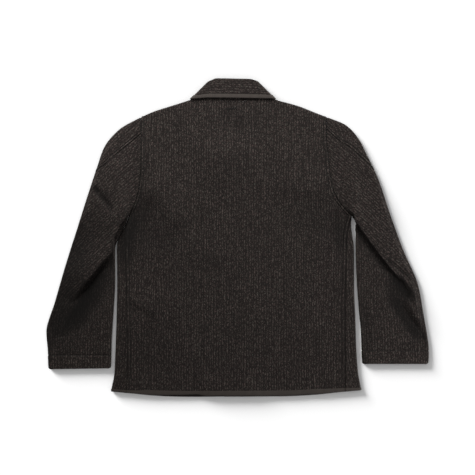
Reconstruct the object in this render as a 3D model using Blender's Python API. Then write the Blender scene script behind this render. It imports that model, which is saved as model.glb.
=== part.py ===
"""A wool work jacket laid flat on its front, back side up.

Every cut piece is a wall of cloth between an outer and an inner grid of points. The fronts lie on
the floor and turn over at the sides, the back lies on them, and each sleeve is a flattened tube of
two pieces. Tables are in millimetres, with +X to the right, +Y towards the collar and +Z up, and the
meshes are in metres. "Left" and "right" are the wearer's, seen from behind.
"""
from collections import namedtuple

import bmesh
import bpy
import numpy as np

# Cloth, tape and seams
MM = 0.001
CLOTH = 2.4
TAPE = 0.7
TAPE_BULGE = 0.4
SEAM_GAP = 0.3
ROLLED_SEAM_GAP = 0.8
TAPE_STEP = SEAM_GAP + TAPE
CUFF_WALL = 3.6

# Heights above the floor
SIDE_HEIGHT = 8.2
HEM_SIDE_RISE = 0.8
CROWN_RISE = 2.5
HEM_CROWN_RISE = 1.4
NECK_RISE = 2.9
COLLAR_MIDDLE = 8.0
FALL_RADIUS = 7.0
STAND_RADIUS = 3.1

# Body
CENTRE_X = -8.5
OVERLAP = 22.0
NECK_HALF = 89.5
NECK_SIDE_Y = 311.6
FRONT_NECK_DEPTH = 85.5
UNDERARM_Y = 46.7
SHOULDER_Y = 274.7
SHOULDER_INSET = 4.1
SHOULDER_TURN = 11.0
FRONT_HEM_DROP = 2.5
HEM_TAPE_WIDTH = 9.5
COLLAR_TAPE_WIDTH = 7.5
PLACKET_LIFT = 2.7
NECK_LIFT = 4.9

# Reaches of the raised places: where each has died away, then where it is full
CROWN_REACH = (105.0, 28.0)
CROWN_TOP = (300.0, 225.0)
NECK_REACH = (205.0, 118.0)
NECK_LOW = (100.0, 195.0)
NECK_HIGH = (230.0, 305.0)
NECK_LOW_SHARE = 0.76
PLACKET_REACH = (75.0, 24.0)
NECK_LIFT_REACH = (165.0, 105.0)
NECK_LIFT_START = (150.0, 200.0)
OVERLAP_REACH = (95.0, OVERLAP + 4.0)
SHOULDER_DROP = (NECK_HALF + 1.0, NECK_HALF + 9.0)
HEM_REACH = (0.09, 0.018)
HEM_DROP_REACH = (265.0, 160.0)

# Buttons
BUTTON_RADIUS = 9.5
BUTTON_THICKNESS = 2.4
BUTTON_SIDES = 16
BUTTON_DISH = 0.3
BUTTON_TOP_Y = 165.0
BUTTON_PITCH = 100.0
BUTTON_COUNT = 5

# Grid densities
ARMHOLE_STEPS = 12
BACK_COLUMNS_PER_SHOULDER = 4
BACK_COLUMNS_NECK = 8
NECK_STEPS = 5
EDGE_STEPS = 11
EDGE_ZONE = 44.0
EDGE_ZONE_SHARE = 0.3
ROLL_STEPS = 4
SLEEVE_ROWS = 28
CURL_ANGLES = np.radians([30.0, 60.0, 90.0])
SHARP_ANGLE = np.radians(50.0)

# The outline and the side seam of the body, hem to shoulder: from the underarm up they are the armhole
BodySide = namedtuple("BodySide", "y edge_x seam_x")
LEFT_SIDE = [
    BodySide(-350.0, -288.0, -252.0),
    BodySide(-311.0, -280.7, -251.5),
    BodySide(-256.0, -278.3, -251.0),
    BodySide(-188.0, -276.0, -252.0),
    BodySide(-106.0, -274.5, -253.5),
    BodySide(-28.0, -275.5, -256.5),
    BodySide(-3.0, -269.5, -257.5),
    BodySide(22.0, -258.3, -254.3),
    BodySide(UNDERARM_Y, -248.0, -248.0),
    BodySide(67.0, -239.6, -239.6),
    BodySide(92.0, -229.0, -229.0),
    BodySide(120.0, -223.4, -223.4),
    BodySide(165.0, -219.6, -219.6),
    BodySide(222.0, -219.3, -219.3),
    BodySide(SHOULDER_Y, -220.0, -220.0),
]
RIGHT_SIDE = [
    BodySide(-350.0, 282.0, 244.5),
    BodySide(-311.0, 275.0, 245.0),
    BodySide(-256.0, 271.0, 245.0),
    BodySide(-188.0, 268.8, 245.0),
    BodySide(-120.0, 267.0, 245.3),
    BodySide(-51.0, 268.0, 247.4),
    BodySide(-24.0, 266.3, 248.0),
    BodySide(3.0, 261.7, 249.5),
    BodySide(31.0, 259.5, 255.0),
    BodySide(UNDERARM_Y, 260.5, 260.5),
    BodySide(55.0, 254.5, 254.5),
    BodySide(69.5, 241.7, 241.7),
    BodySide(88.0, 227.5, 227.5),
    BodySide(108.0, 218.4, 218.4),
    BodySide(136.0, 212.3, 212.3),
    BodySide(188.0, 206.3, 206.3),
    BodySide(234.0, 202.8, 202.8),
    BodySide(SHOULDER_Y, 204.0, 204.0),
]

# The hem and the top edge of the back, left to right
EdgePoint = namedtuple("EdgePoint", "x y")
HEM = [
    EdgePoint(-288.0, -350.0),
    EdgePoint(-199.0, -357.2),
    EdgePoint(-108.0, -359.8),
    EdgePoint(0.0, -359.0),
    EdgePoint(97.0, -358.8),
    EdgePoint(188.0, -354.6),
    EdgePoint(282.0, -347.0),
]
SHOULDERS = [
    EdgePoint(-220.0, SHOULDER_Y),
    EdgePoint(-189.0, 287.8),
    EdgePoint(-162.0, 296.0),
    EdgePoint(-134.5, 304.2),
    EdgePoint(-109.0, 312.0),
    EdgePoint(-98.0, NECK_SIDE_Y),
    EdgePoint(-8.5, 309.2),
    EdgePoint(81.0, NECK_SIDE_Y),
    EdgePoint(92.0, 311.5),
    EdgePoint(111.7, 307.2),
    EdgePoint(139.0, 299.2),
    EdgePoint(166.4, 288.8),
    EdgePoint(204.0, SHOULDER_Y),
]

# Heights up the side of the body where the panels have a row of points, below the armhole
ROWS_BELOW_ARMHOLE = [-310.0, -270.0, -220.0, -165.0, -110.0, -65.0, -28.0, -3.0, 22.0, UNDERARM_Y]

# Sleeves: the outer and inner edge of each flat section, armhole to cuff, and how high each edge stands
SleeveSection = namedtuple("SleeveSection", "outer_x outer_y inner_x inner_y outer_height inner_height")
LEFT_SLEEVE = [
    SleeveSection(-220.0, 274.7, -248.1, 46.7, 8.2, 8.2),
    SleeveSection(-268.0, 247.8, -259.9, 21.7, 8.2, 10.0),
    SleeveSection(-304.0, 206.3, -271.7, -4.6, 8.2, 12.0),
    SleeveSection(-321.2, 158.5, -278.8, -24.0, 8.2, 12.0),
    SleeveSection(-341.0, 99.2, -279.0, -58.0, 8.2, 10.5),
    SleeveSection(-367.0, 17.1, -278.9, -99.2, 8.2, 8.8),
    SleeveSection(-393.3, -66.0, -281.1, -147.0, 8.2, 8.2),
    SleeveSection(-416.1, -144.8, -284.3, -195.0, 8.2, 8.2),
    SleeveSection(-436.2, -214.0, -286.8, -236.0, 8.2, 8.2),
    SleeveSection(-433.2, -256.5, -287.7, -266.8, 8.2, 8.2),
    SleeveSection(-431.2, -300.3, -289.5, -298.3, 8.6, 8.6),
]
RIGHT_SLEEVE = [
    SleeveSection(204.0, 274.7, 260.5, 46.7, 8.2, 8.2),
    SleeveSection(247.4, 256.3, 266.0, 41.0, 8.2, 10.0),
    SleeveSection(276.0, 225.7, 268.4, 26.2, 8.2, 12.0),
    SleeveSection(295.3, 188.0, 268.3, 3.4, 8.2, 12.0),
    SleeveSection(320.3, 135.7, 268.7, -30.8, 8.2, 10.5),
    SleeveSection(346.8, 58.0, 270.4, -74.0, 8.2, 8.8),
    SleeveSection(377.3, -26.2, 273.4, -122.0, 8.2, 8.2),
    SleeveSection(412.6, -110.0, 277.0, -170.0, 8.2, 8.2),
    SleeveSection(424.0, -172.0, 281.4, -215.5, 8.2, 8.2),
    SleeveSection(436.4, -254.2, 283.0, -256.5, 8.2, 8.2),
    SleeveSection(435.0, -288.4, 285.0, -288.4, 8.6, 8.6),
]
CUFF_HEM = (9.1, 9.3)
CUFF_ROW_GAP = 0.1
ARMHOLE_BOW = (1.5, 0.0)
FOLD_FROM_ARMHOLE = (0.2, 1.2)
FOLD_FROM_CUFF = (9.6, 8.8)
FOLD_FROM_EDGE = (0.0, 0.12)
ARMHOLE_GAP = 0.4
LEAST_STEP = 0.8
ROUND_NAMES = ("outer_r", "inner_r", "top_run", "quarter")

# The sleeve's outer seam: its place across each section, from the outer edge, minus on the floor side
SeamPoint = namedtuple("SeamPoint", "station across")
LEFT_SEAM = [
    SeamPoint(0.0, 0.165),
    SeamPoint(1.0, 0.215),
    SeamPoint(2.0, 0.175),
    SeamPoint(3.0, 0.03),
    SeamPoint(3.5, -0.05),
    SeamPoint(5.0, -0.20),
    SeamPoint(10.0, -0.20),
]
RIGHT_SEAM = [
    SeamPoint(0.0, 0.12),
    SeamPoint(1.0, 0.215),
    SeamPoint(2.0, 0.184),
    SeamPoint(3.0, 0.083),
    SeamPoint(3.7, 0.0),
    SeamPoint(4.4, -0.10),
    SeamPoint(5.5, -0.20),
    SeamPoint(10.0, -0.20),
]
INNER_SEAM_STEPS = 2

# Folds: a curved crest or trough through three points, its height, and its width to either side of its run
Fold = namedtuple("Fold", "start_x start_y middle_x middle_y end_x end_y height left_width right_width")
LEFT_SLEEVE_FOLDS = [
    Fold(-281.6, -19.4, -331.7, -83.2, -400.0, -183.5, 7.5, 17.0, 28.0),
    Fold(-304.4, -69.5, -341.0, -119.7, -391.0, -197.0, -2.0, 16.0, 10.0),
    Fold(-327.0, 113.0, -304.4, 85.5, -284.0, 60.4, -1.8, 6.0, 6.0),
]
RIGHT_SLEEVE_FOLDS = [
    Fold(268.0, 37.6, 336.3, -51.3, 404.7, -147.0, 7.5, 25.0, 16.0),
    Fold(393.3, -119.7, 411.5, -170.0, 425.0, -245.0, 3.5, 15.0, 13.0),
    Fold(284.0, -5.7, 343.0, -78.7, 379.6, -119.7, -2.0, 9.0, 12.0),
    Fold(363.7, -119.7, 391.0, -172.0, 425.0, -231.4, -2.2, 7.0, 7.0),
]
BACK_FOLDS = [
    Fold(221.0, 58.0, 231.4, 12.5, 233.7, -28.5, -1.2, 8.0, 8.0),
    Fold(-243.0, -151.6, -217.7, -165.3, -186.0, -181.3, -1.0, 9.0, 7.0),
]
FOLD_SAMPLES = 25
FOLD_END_SHARE = 0.22

# Collar: the roll line and the outer edge at each corner of the fall, wearer's left front point to right
CollarCorner = namedtuple("CollarCorner", "roll_x roll_y edge_x edge_y")
LEFT_POINT = CollarCorner(-11.0, 243.0, -66.0, 208.0)
LEFT_FOLD = CollarCorner(-67.5, 355.8, -106.0, 317.6)
BACK_LEFT = CollarCorner(-46.0, 362.8, -62.0, 319.7)
BACK_CENTRE = CollarCorner(-9.0, 362.2, -9.0, 319.2)
BACK_RIGHT = CollarCorner(29.0, 361.2, 44.0, 318.4)
RIGHT_FOLD = CollarCorner(46.5, 356.6, 86.0, 317.4)
RIGHT_POINT = CollarCorner(-6.0, 243.0, 48.0, 208.0)
COLLAR_CURL = 3.0
COLLAR_CURL_SHARE = 0.067
STAND_TOP_SHARE = 0.13
STAND_SHARES = (0.0, 0.5, 1.0)
NECK_SHARES = (-1.0, -0.55, 0.0, 0.55, 1.0)
STAND_SEAM_GAP = 0.5
STAND_FRONT_GAP = 2.0
LEAF_STEPS = 5
COLLAR_BACK_STEPS = 10


def smooth(knots, values, at):
    """Monotone cubic through a table's column, so that an outline never swings past its points."""
    knots = np.asarray(knots, float)
    values = np.asarray(values, float)
    at = np.clip(at, knots[0], knots[-1])
    steps = np.diff(knots)
    rates = np.diff(values) / steps
    slopes = np.concatenate(([rates[0]], np.zeros(len(knots) - 2), [rates[-1]]))
    before, after = rates[:-1], rates[1:]
    same_way = before * after > 0
    total = np.where(same_way, before + after, 1.0)
    slopes[1:-1] = np.where(same_way, 2.0 * before * after / total, 0.0)
    cell = np.clip(np.searchsorted(knots, at, side="right") - 1, 0, len(steps) - 1)
    t = (at - knots[cell]) / steps[cell]
    rise = (2 * t - 3) * t * t
    start = (rise + 1) * values[cell] + (t - 2 * t * t + t**3) * steps[cell] * slopes[cell]
    return start - rise * values[cell + 1] + (t**3 - t * t) * steps[cell] * slopes[cell + 1]


def column(table, name):
    return np.array([getattr(row, name) for row in table], float)


def ramp(at, low, high):
    """Soft step from 0 at low to 1 at high, either way round."""
    t = np.clip((np.asarray(at, float) - low) / (high - low), 0.0, 1.0)
    return t * t * (3.0 - 2.0 * t)


def blend(first, second, share):
    return first + (second - first) * share


def fold_rise(folds, x, y):
    """Sum of the folds' heights at plan points, each a bell across its run that fades at its ends."""
    rise = np.zeros_like(x)
    share = np.linspace(0.0, 1.0, FOLD_SAMPLES)
    for fold in folds:
        start = np.array([fold.start_x, fold.start_y])
        middle = np.array([fold.middle_x, fold.middle_y])
        end = np.array([fold.end_x, fold.end_y])
        handle = 2.0 * middle - 0.5 * (start + end)
        weights = np.stack([(1 - share) ** 2, 2 * share * (1 - share), share**2], axis=1)
        run = weights @ np.array([start, handle, end])
        heading = np.gradient(run, axis=0)
        heading /= np.linalg.norm(heading, axis=1, keepdims=True)
        offset = np.stack([x, y], axis=-1)[..., None, :] - run
        nearest = np.argmin((offset**2).sum(axis=-1), axis=-1)
        offset = np.take_along_axis(offset, nearest[..., None, None], axis=-2)[..., 0, :]
        along = heading[nearest]
        side = along[..., 0] * offset[..., 1] - along[..., 1] * offset[..., 0]
        past = np.abs((along * offset).sum(axis=-1))
        width = np.where(side > 0, fold.left_width, fold.right_width)
        ends = ramp(share, 0, FOLD_END_SHARE) * ramp(share, 1, 1 - FOLD_END_SHARE)
        rise += fold.height * ends[nearest] * np.exp(-(side**2 + past**2) / width**2)
    return rise


def finish_mesh(name, points, faces, material):
    """One closed object from points in millimetres, with its faces turned outwards."""
    mesh = bpy.data.meshes.new(name)
    mesh.from_pydata((np.asarray(points) * MM).tolist(), [], faces)
    shell = bmesh.new()
    shell.from_mesh(mesh)
    bmesh.ops.recalc_face_normals(shell, faces=shell.faces)
    shell.to_mesh(mesh)
    shell.free()
    mesh.shade_smooth()
    mesh.set_sharp_from_angle(angle=SHARP_ANGLE)
    mesh.materials.append(material)
    bpy.context.scene.collection.objects.link(bpy.data.objects.new(name, mesh))


def cloth_wall(name, outer, inner, material):
    """A wall of cloth: two grids of points of the same size, closed by a rim round their edges.

    The rim is split into triangles the same way up every edge, so that two pieces fit along a twisting seam.
    """
    rows, columns = outer.shape[:2]
    number = np.arange(rows * columns).reshape(rows, columns)
    quads = np.stack([number[:-1, :-1], number[:-1, 1:], number[1:, 1:], number[1:, :-1]], axis=-1)
    faces = quads.reshape(-1, 4).tolist()
    below = rows * columns
    faces += (quads[..., ::-1] + below).reshape(-1, 4).tolist()
    rim = np.concatenate([number[0], number[1:, -1], number[-1, -2::-1], number[-2:0:-1, 0]])
    ahead = np.roll(rim, -1)
    low, high = np.minimum(rim, ahead), np.maximum(rim, ahead)
    faces += np.stack([low, high, low + below], axis=-1).tolist()
    faces += np.stack([high, high + below, low + below], axis=-1).tolist()
    points = np.concatenate([outer.reshape(-1, 3), inner.reshape(-1, 3)])
    finish_mesh(name, points, faces, material)


def unit(vectors):
    return vectors / np.linalg.norm(vectors, axis=-1, keepdims=True)


def binding(name, outer, inner, material):
    """Tape folded over a cloth edge: a U-shaped wall round the edge points and those a tape's width in.

    outer and inner are two rows of points each: the cloth edge, then the line where the tape ends.
    """
    outward = unit(outer - inner)
    past_edge = unit(outer[0] - outer[1])
    near = SEAM_GAP
    far = TAPE_STEP
    round_edge = 0.5 * (outer[0] + inner[0]) + past_edge * (far + TAPE_BULGE)
    loop = [
        outer[1] + outward[1] * far,
        outer[0] + outward[0] * far,
        round_edge,
        inner[0] - outward[0] * far,
        inner[1] - outward[1] * far,
        inner[1] - outward[1] * near,
        inner[0] - outward[0] * near + past_edge * near,
        outer[0] + outward[0] * near + past_edge * near,
        outer[1] + outward[1] * near,
    ]
    section = np.stack(loop, axis=1)
    count, sides = section.shape[:2]
    number = np.arange(count * sides).reshape(count, sides)
    ahead = np.roll(number, -1, axis=1)
    quads = np.stack([number[:-1], ahead[:-1], ahead[1:], number[1:]], axis=-1)
    faces = quads.reshape(-1, 4).tolist()
    faces += [number[0].tolist(), number[-1, ::-1].tolist()]
    finish_mesh(name, section.reshape(-1, 3), faces, material)


def make_material(name, colour, roughness, metallic=0.0):
    material = bpy.data.materials.new(name)
    material.use_nodes = True
    shader = material.node_tree.nodes["Principled BSDF"]
    shader.inputs["Base Color"].default_value = (*colour, 1.0)
    shader.inputs["Roughness"].default_value = roughness
    shader.inputs["Metallic"].default_value = metallic
    return material


def edge_x(side, y):
    return smooth(column(side, "y"), column(side, "edge_x"), y)


def seam_x(side, y):
    return smooth(column(side, "y"), column(side, "seam_x"), y)


def hem_y(x):
    return smooth(column(HEM, "x"), column(HEM, "y"), x)


def shoulder_y(x):
    return smooth(column(SHOULDERS, "x"), column(SHOULDERS, "y"), x)


def hem_share(v):
    """1 on the hem tape, falling to 0 a little way up the body."""
    return ramp(v, *HEM_REACH)


def side_height(v):
    return SIDE_HEIGHT + HEM_SIDE_RISE * hem_share(v)


def back_height(x, y, v):
    """Top of the back panel: level at the sides, higher over the fronts' overlap and round the neck."""
    off = np.abs(x - CENTRE_X)
    crown = CROWN_RISE + HEM_CROWN_RISE * hem_share(v)
    crown = crown * ramp(off, *CROWN_REACH) * ramp(y, *CROWN_TOP)
    neck = NECK_LOW_SHARE * ramp(y, *NECK_LOW) + (1.0 - NECK_LOW_SHARE) * ramp(y, *NECK_HIGH)
    return side_height(v) + crown + NECK_RISE * neck * ramp(off, *NECK_REACH)


def front_lift(x, y, v, over):
    """Height of a front's outer face: over the buttons, the collar and its hem tape, and the other front."""
    off = np.abs(x - CENTRE_X)
    tape = TAPE_STEP * hem_share(v)
    placket = PLACKET_LIFT * ramp(off, *PLACKET_REACH) * (1.0 - hem_share(v))
    neck = NECK_LIFT * ramp(y, *NECK_LIFT_START) * ramp(off, *NECK_LIFT_REACH)
    lift = np.maximum(np.maximum(tape, placket), neck)
    if over:
        step = CLOTH + SEAM_GAP + 2.0 * TAPE_STEP * hem_share(v)
        lift = lift + step * ramp(x - CENTRE_X, *OVERLAP_REACH)
    return lift


def body_rows(armhole_steps):
    """Share of the way up the side at each row of points: hem, tape end, side seam, armhole."""
    foot = hem_y(np.array([LEFT_SIDE[0].seam_x]))[0]
    armhole = np.linspace(UNDERARM_Y, SHOULDER_Y - SHOULDER_INSET, armhole_steps + 1)[1:]
    levels = np.concatenate([[foot, foot + HEM_TAPE_WIDTH], ROWS_BELOW_ARMHOLE, armhole])
    return (levels - foot) / (SHOULDER_Y - SHOULDER_INSET - foot)


def side_levels(side, v):
    """Height up the page of each row where it meets the side seam or the armhole."""
    foot = hem_y(np.array([side[0].seam_x]))[0]
    return blend(foot, SHOULDER_Y - SHOULDER_INSET, v)


def turned_edge(middle_y, middle_z, radius, drop, flat_y, flat_z, upward, inset):
    """Rows that turn over the shoulder by a quarter round, or run on flat where drop is 0."""
    rows = []
    for angle in CURL_ANGLES:
        round_y = middle_y + (radius - inset) * np.sin(angle)
        round_z = middle_z + upward * (radius - inset) * np.cos(angle)
        y = blend(flat_y + SHOULDER_INSET * np.sin(angle), round_y, drop)
        z = blend(flat_z, round_z, drop)
        rows.append((y, z))
    return rows


def make_back(material):
    """The back: one piece from side seam to side seam, turned over at the shoulders."""
    v = body_rows(ARMHOLE_STEPS)[:, None]
    shoulder_end = LEFT_SIDE[-1].edge_x
    width = RIGHT_SIDE[-1].edge_x - shoulder_end
    neck = (CENTRE_X - NECK_HALF - shoulder_end) / width
    turn = (CENTRE_X - NECK_HALF - SHOULDER_TURN - shoulder_end) / width
    left = np.append(np.linspace(0.0, turn, BACK_COLUMNS_PER_SHOULDER + 1), neck)
    middle = np.linspace(neck, 1.0 - neck, BACK_COLUMNS_NECK + 1)[1:-1]
    u = np.concatenate([left, middle, 1.0 - left[::-1]])[None, :]
    gap = 0.5 * SEAM_GAP
    left_x = seam_x(LEFT_SIDE, side_levels(LEFT_SIDE, v)) + gap
    right_x = seam_x(RIGHT_SIDE, side_levels(RIGHT_SIDE, v)) - gap
    x = blend(left_x, right_x, u)
    foot = hem_y(x[:1])
    top = shoulder_y(x[-1:])
    flat_top = top - SHOULDER_INSET
    y = blend(foot, flat_top, v)
    z = back_height(x, y, v) + fold_rise(BACK_FOLDS, x, y)
    drop = ramp(np.abs(x[-1] - CENTRE_X), *SHOULDER_DROP)
    lift = front_lift(x[-1], y[-1], 1.0, False)
    radius = 0.5 * (z[-1] - lift)
    walls = []
    for inset in (0.0, CLOTH):
        rows = [np.stack([x, y, z - inset], axis=-1)]
        turned = turned_edge(y[-1], z[-1] - radius, radius, drop, flat_top[0], z[-1] - inset, 1.0, inset)
        for row_y, row_z in turned:
            rows.append(np.stack([x[-1], row_y, row_z], axis=-1)[None])
        walls.append(np.concatenate(rows))
    least = np.where(drop > 0, z[-1] - radius + 0.5 * SEAM_GAP, 0.0)
    for wall in walls:
        wall[-1, :, 2] = np.maximum(wall[-1, :, 2], least)
    cloth_wall("back", *walls, material)
    return walls


def front_top_y(x, outward):
    """Top edge of a front: the neck curve from centre front to the neck point, then the shoulder."""
    off = np.clip((x - CENTRE_X) * outward, 0.0, NECK_HALF)
    neck = NECK_SIDE_Y - FRONT_NECK_DEPTH * np.sqrt(1.0 - (off / NECK_HALF) ** 2)
    past_neck = (x - CENTRE_X) * outward > NECK_HALF
    return np.where(past_neck, shoulder_y(x), neck)


def make_front(name, side, outward, over, material):
    """A front: flat on the floor, rolled over at the side and on to the side seam on the back."""
    v = body_rows(ARMHOLE_STEPS // 2)[:, None]
    level = side_levels(side, v)
    edge = edge_x(side, level) * outward
    seam = seam_x(side, level) * outward + 0.5 * SEAM_GAP
    start = CENTRE_X * outward - OVERLAP
    lift_at_edge = TAPE_STEP * hem_share(v)
    radius = 0.5 * (side_height(v) - lift_at_edge)
    strip = np.maximum(edge - seam, 0.0)
    round_part = radius * np.arccos(np.clip(1.0 - strip / radius, -1.0, 1.0))
    past_edge = np.where(strip < radius, round_part, 0.5 * np.pi * radius + strip - radius)
    above = np.arange(len(v))[:, None] > len(ROWS_BELOW_ARMHOLE) + 1
    past_edge = np.where(above, -0.5 * np.pi * radius, past_edge)
    flat = np.where(above, edge - 0.5 * SEAM_GAP - start, edge - radius - start)
    total = flat + 0.5 * np.pi * radius + past_edge
    zone = np.minimum(EDGE_ZONE, total * EDGE_ZONE_SHARE)
    neck_runs = OVERLAP + NECK_HALF * np.sin(np.linspace(0.0, 0.5 * np.pi, NECK_STEPS + 1))
    inner_run = neck_runs[1]
    flat_run = total - zone - inner_run
    shoulder_run = OVERLAP + NECK_HALF + SHOULDER_TURN
    spots = (np.append(neck_runs[1:], shoulder_run) - inner_run) / flat_run[-1]
    spots = np.concatenate([spots, [0.5 * (spots[-1] + 1.0), 1.0]])
    overlap_runs = np.repeat([[0.0, OVERLAP]], len(v), axis=0)
    edge_runs = total - zone + zone * np.linspace(0.0, 1.0, EDGE_STEPS + 1)[1:]
    run = np.concatenate([overlap_runs, inner_run + spots * flat_run, edge_runs], axis=1)
    angle = np.clip((run - flat) / radius, 0.0, np.pi)
    on_strip = np.maximum(run - flat - np.pi * radius, 0.0)
    walls = []
    for inset in (0.0, CLOTH):
        turn = radius - inset
        reach = np.minimum(run, flat) + np.where(run > flat, turn * np.sin(angle), 0.0) - on_strip
        x = (start + reach) * outward
        foot = hem_y(x[:1]) - FRONT_HEM_DROP * ramp(np.abs(x[:1]), *HEM_DROP_REACH)
        top = front_top_y(x[-1:], outward)
        y = blend(foot, top - SHOULDER_INSET, v)
        lift = front_lift(x, y, v, over)
        z = np.where(run > flat, lift_at_edge + radius - turn * np.cos(angle), lift + inset)
        rows = [np.stack([x, y, z], axis=-1)]
        drop = ramp(np.abs(x[-1] - CENTRE_X), *SHOULDER_DROP)
        back_z = back_height(x[-1], y[-1], 1.0)
        turn_up = 0.5 * (back_z - lift[-1])
        turned = turned_edge(y[-1], lift[-1] + turn_up, turn_up, drop, y[-1], z[-1], -1.0, inset)
        for row_y, row_z in turned:
            rows.append(np.stack([x[-1], row_y, row_z], axis=-1)[None])
        wall = np.concatenate(rows)
        most = np.where(drop > 0, lift[-1] + turn_up - 0.5 * SEAM_GAP, back_z)
        wall[-1, :, 2] = np.minimum(wall[-1, :, 2], most)
        walls.append(wall)
    cloth_wall(name, *walls, material)
    return walls


def sleeve_section(sections, station):
    """A sleeve's columns at any station, with its width and the radii of its rolled edges."""
    count = np.arange(len(sections), dtype=float)
    place = {name: smooth(count, column(sections, name), station) for name in SleeveSection._fields}
    place["reach_x"] = place["inner_x"] - place["outer_x"]
    place["reach_y"] = place["inner_y"] - place["outer_y"]
    place["width"] = np.hypot(place["reach_x"], place["reach_y"])
    place["outer_r"] = 0.5 * place["outer_height"]
    place["inner_r"] = 0.5 * place["inner_height"]
    place["top_run"] = place["width"] - place["outer_r"] - place["inner_r"]
    place["quarter"] = 0.5 * np.pi * place["outer_r"]
    return place


def armhole_bow(section, side, share):
    """How far the armhole's curve stands out, along x, from the straight line of the first section."""
    x = blend(section.outer_x, section.inner_x, share)
    y = blend(section.outer_y, section.inner_y, share)
    return edge_x(side, y) - x + np.sign(section.outer_x) * ARMHOLE_GAP


def sleeve_shape(sections, side, folds, station, along, inset):
    """Points of a flattened tube: station runs armhole to cuff, along runs round it from the outer edge.

    From the outermost point, plus goes up over the rolled edge and across the top to the inner edge and
    under it; minus goes down and across the floor side. inset is 0 outside and 1 inside the wall.
    """
    place = sleeve_section(sections, station)
    outer_r, inner_r, top_run, quarter = (place[name] for name in ROUND_NAMES)
    wall = inset * blend(CLOTH, CUFF_WALL, ramp(station, *CUFF_HEM))
    past = along - quarter
    outer_angle = np.clip(along / outer_r, -0.5 * np.pi, 0.5 * np.pi)
    inner_angle = np.clip((past - top_run) / inner_r, 0.0, np.pi)
    on_top = np.clip(past, 0.0, top_run)
    under_inner = np.maximum(past - top_run - np.pi * inner_r, 0.0)
    under_outer = np.maximum(-along - quarter, 0.0)
    across = outer_r - (outer_r - wall) * np.cos(outer_angle) + on_top + under_outer
    across = across + (inner_r - wall) * np.sin(inner_angle) - under_inner
    x = place["outer_x"] + place["reach_x"] * across / place["width"]
    y = place["outer_y"] + place["reach_y"] * across / place["width"]
    x = x + armhole_bow(sections[0], side, across / place["width"]) * ramp(station, *ARMHOLE_BOW)
    share = on_top / top_run
    fade = ramp(share, *FOLD_FROM_EDGE) * ramp(1.0 - share, *FOLD_FROM_EDGE)
    fade = fade * ramp(station, *FOLD_FROM_ARMHOLE) * ramp(station, *FOLD_FROM_CUFF)
    top_z = blend(place["outer_height"], place["inner_height"], share) + fold_rise(folds, x, y) * fade - wall
    z = np.where(along > 0, top_z, wall)
    z = np.where(np.abs(along) <= quarter, outer_r + (outer_r - wall) * np.sin(outer_angle), z)
    z = np.where(past > top_run, inner_r + (inner_r - wall) * np.cos(inner_angle), z)
    return np.stack([x, y, z], axis=-1)


def outer_seam_run(place, seam, station):
    """Where the outer seam lies along the way round: over the shoulder on top, then on the floor side."""
    outer_r = place["outer_r"]
    across = smooth(column(seam, "station"), column(seam, "across"), station)
    distance = np.abs(across) * place["width"]
    on_round = outer_r * np.arccos(np.clip(1.0 - distance / outer_r, -1.0, 1.0))
    past_round = place["quarter"] + distance - outer_r
    return np.sign(across) * np.where(distance < outer_r, on_round, past_round)


def between(spots, low, high):
    """Spots along a run, kept in order between its two ends."""
    count = spots.shape[1]
    order = np.arange(1, count + 1)[None, :]
    spots = np.clip(spots, low + LEAST_STEP * order, high - LEAST_STEP * (count + 1 - order))
    return np.concatenate([low, spots, high], axis=1)


def make_sleeve(name, sections, side, seam, folds, material):
    """A two-piece sleeve: the under piece faces up, the top piece lies on the floor and over the shoulder."""
    even = np.linspace(0.0, len(sections) - 1.0, SLEEVE_ROWS)
    even = even[(even < CUFF_HEM[0] - CUFF_ROW_GAP) | (even > CUFF_HEM[1] + CUFF_ROW_GAP)]
    station = np.sort(np.concatenate([even, CUFF_HEM]))[:, None]
    place = sleeve_section(sections, station)
    outer_r, inner_r, top_run, quarter = (place[item] for item in ROUND_NAMES)
    rounding = np.linspace(-0.5, 0.5, ROLL_STEPS + 1)[None, :] * np.pi
    shares = np.arange(1, ARMHOLE_STEPS)[None, :] / ARMHOLE_STEPS
    across_top = quarter + shares * (place["width"] - outer_r)
    across_floor = -across_top[:, 1:-INNER_SEAM_STEPS:2][:, ::-1]
    outer_round = outer_r * rounding
    inner_round = quarter + top_run + inner_r * (rounding + 0.5 * np.pi)
    whole = 2.0 * top_run + np.pi * (outer_r + inner_r)
    outer_seam = outer_seam_run(place, seam, station)
    inner_seam = whole - across_top[:, [-INNER_SEAM_STEPS]]
    gap = 0.5 * SEAM_GAP
    outer_gap = 0.5 * blend(SEAM_GAP, ROLLED_SEAM_GAP, ramp(np.abs(outer_seam), 3.0 * quarter, quarter))
    under_spots = np.concatenate([outer_round, across_top, inner_round], axis=1)
    top_spots = np.concatenate([across_floor, outer_round, across_top[:, :1]], axis=1)
    runs = {
        "under": between(under_spots, outer_seam + outer_gap, inner_seam - gap),
        "top": between(top_spots, inner_seam + gap - whole, outer_seam - outer_gap),
    }
    for part, run in runs.items():
        walls = [sleeve_shape(sections, side, folds, station, run, inset) for inset in (0.0, 1.0)]
        cloth_wall(f"{name}_{part}", *walls, material)


def collar_back(rolls, edges, share, radius):
    """The back of the collar at a share of the way from its roll line to its edge.

    rolls and edges are plan points at the five back corners, fold to fold. Returns the points across the
    back between the two folds, and for each fold its middle and the way it faces.
    """
    corners = blend(rolls, edges, share)
    faces = unit(np.array([corners[0] - corners[1], corners[4] - corners[3]]))
    middles = corners[[0, 4]] - faces * radius
    corners = np.concatenate([middles[:1], corners[1:4], middles[1:]])
    knots = np.arange(len(corners), dtype=float)
    at = np.linspace(0.0, knots[-1], COLLAR_BACK_STEPS + 1)
    across = np.column_stack([smooth(knots, corners[:, 0], at), smooth(knots, corners[:, 1], at)])
    return across, middles, faces


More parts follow.
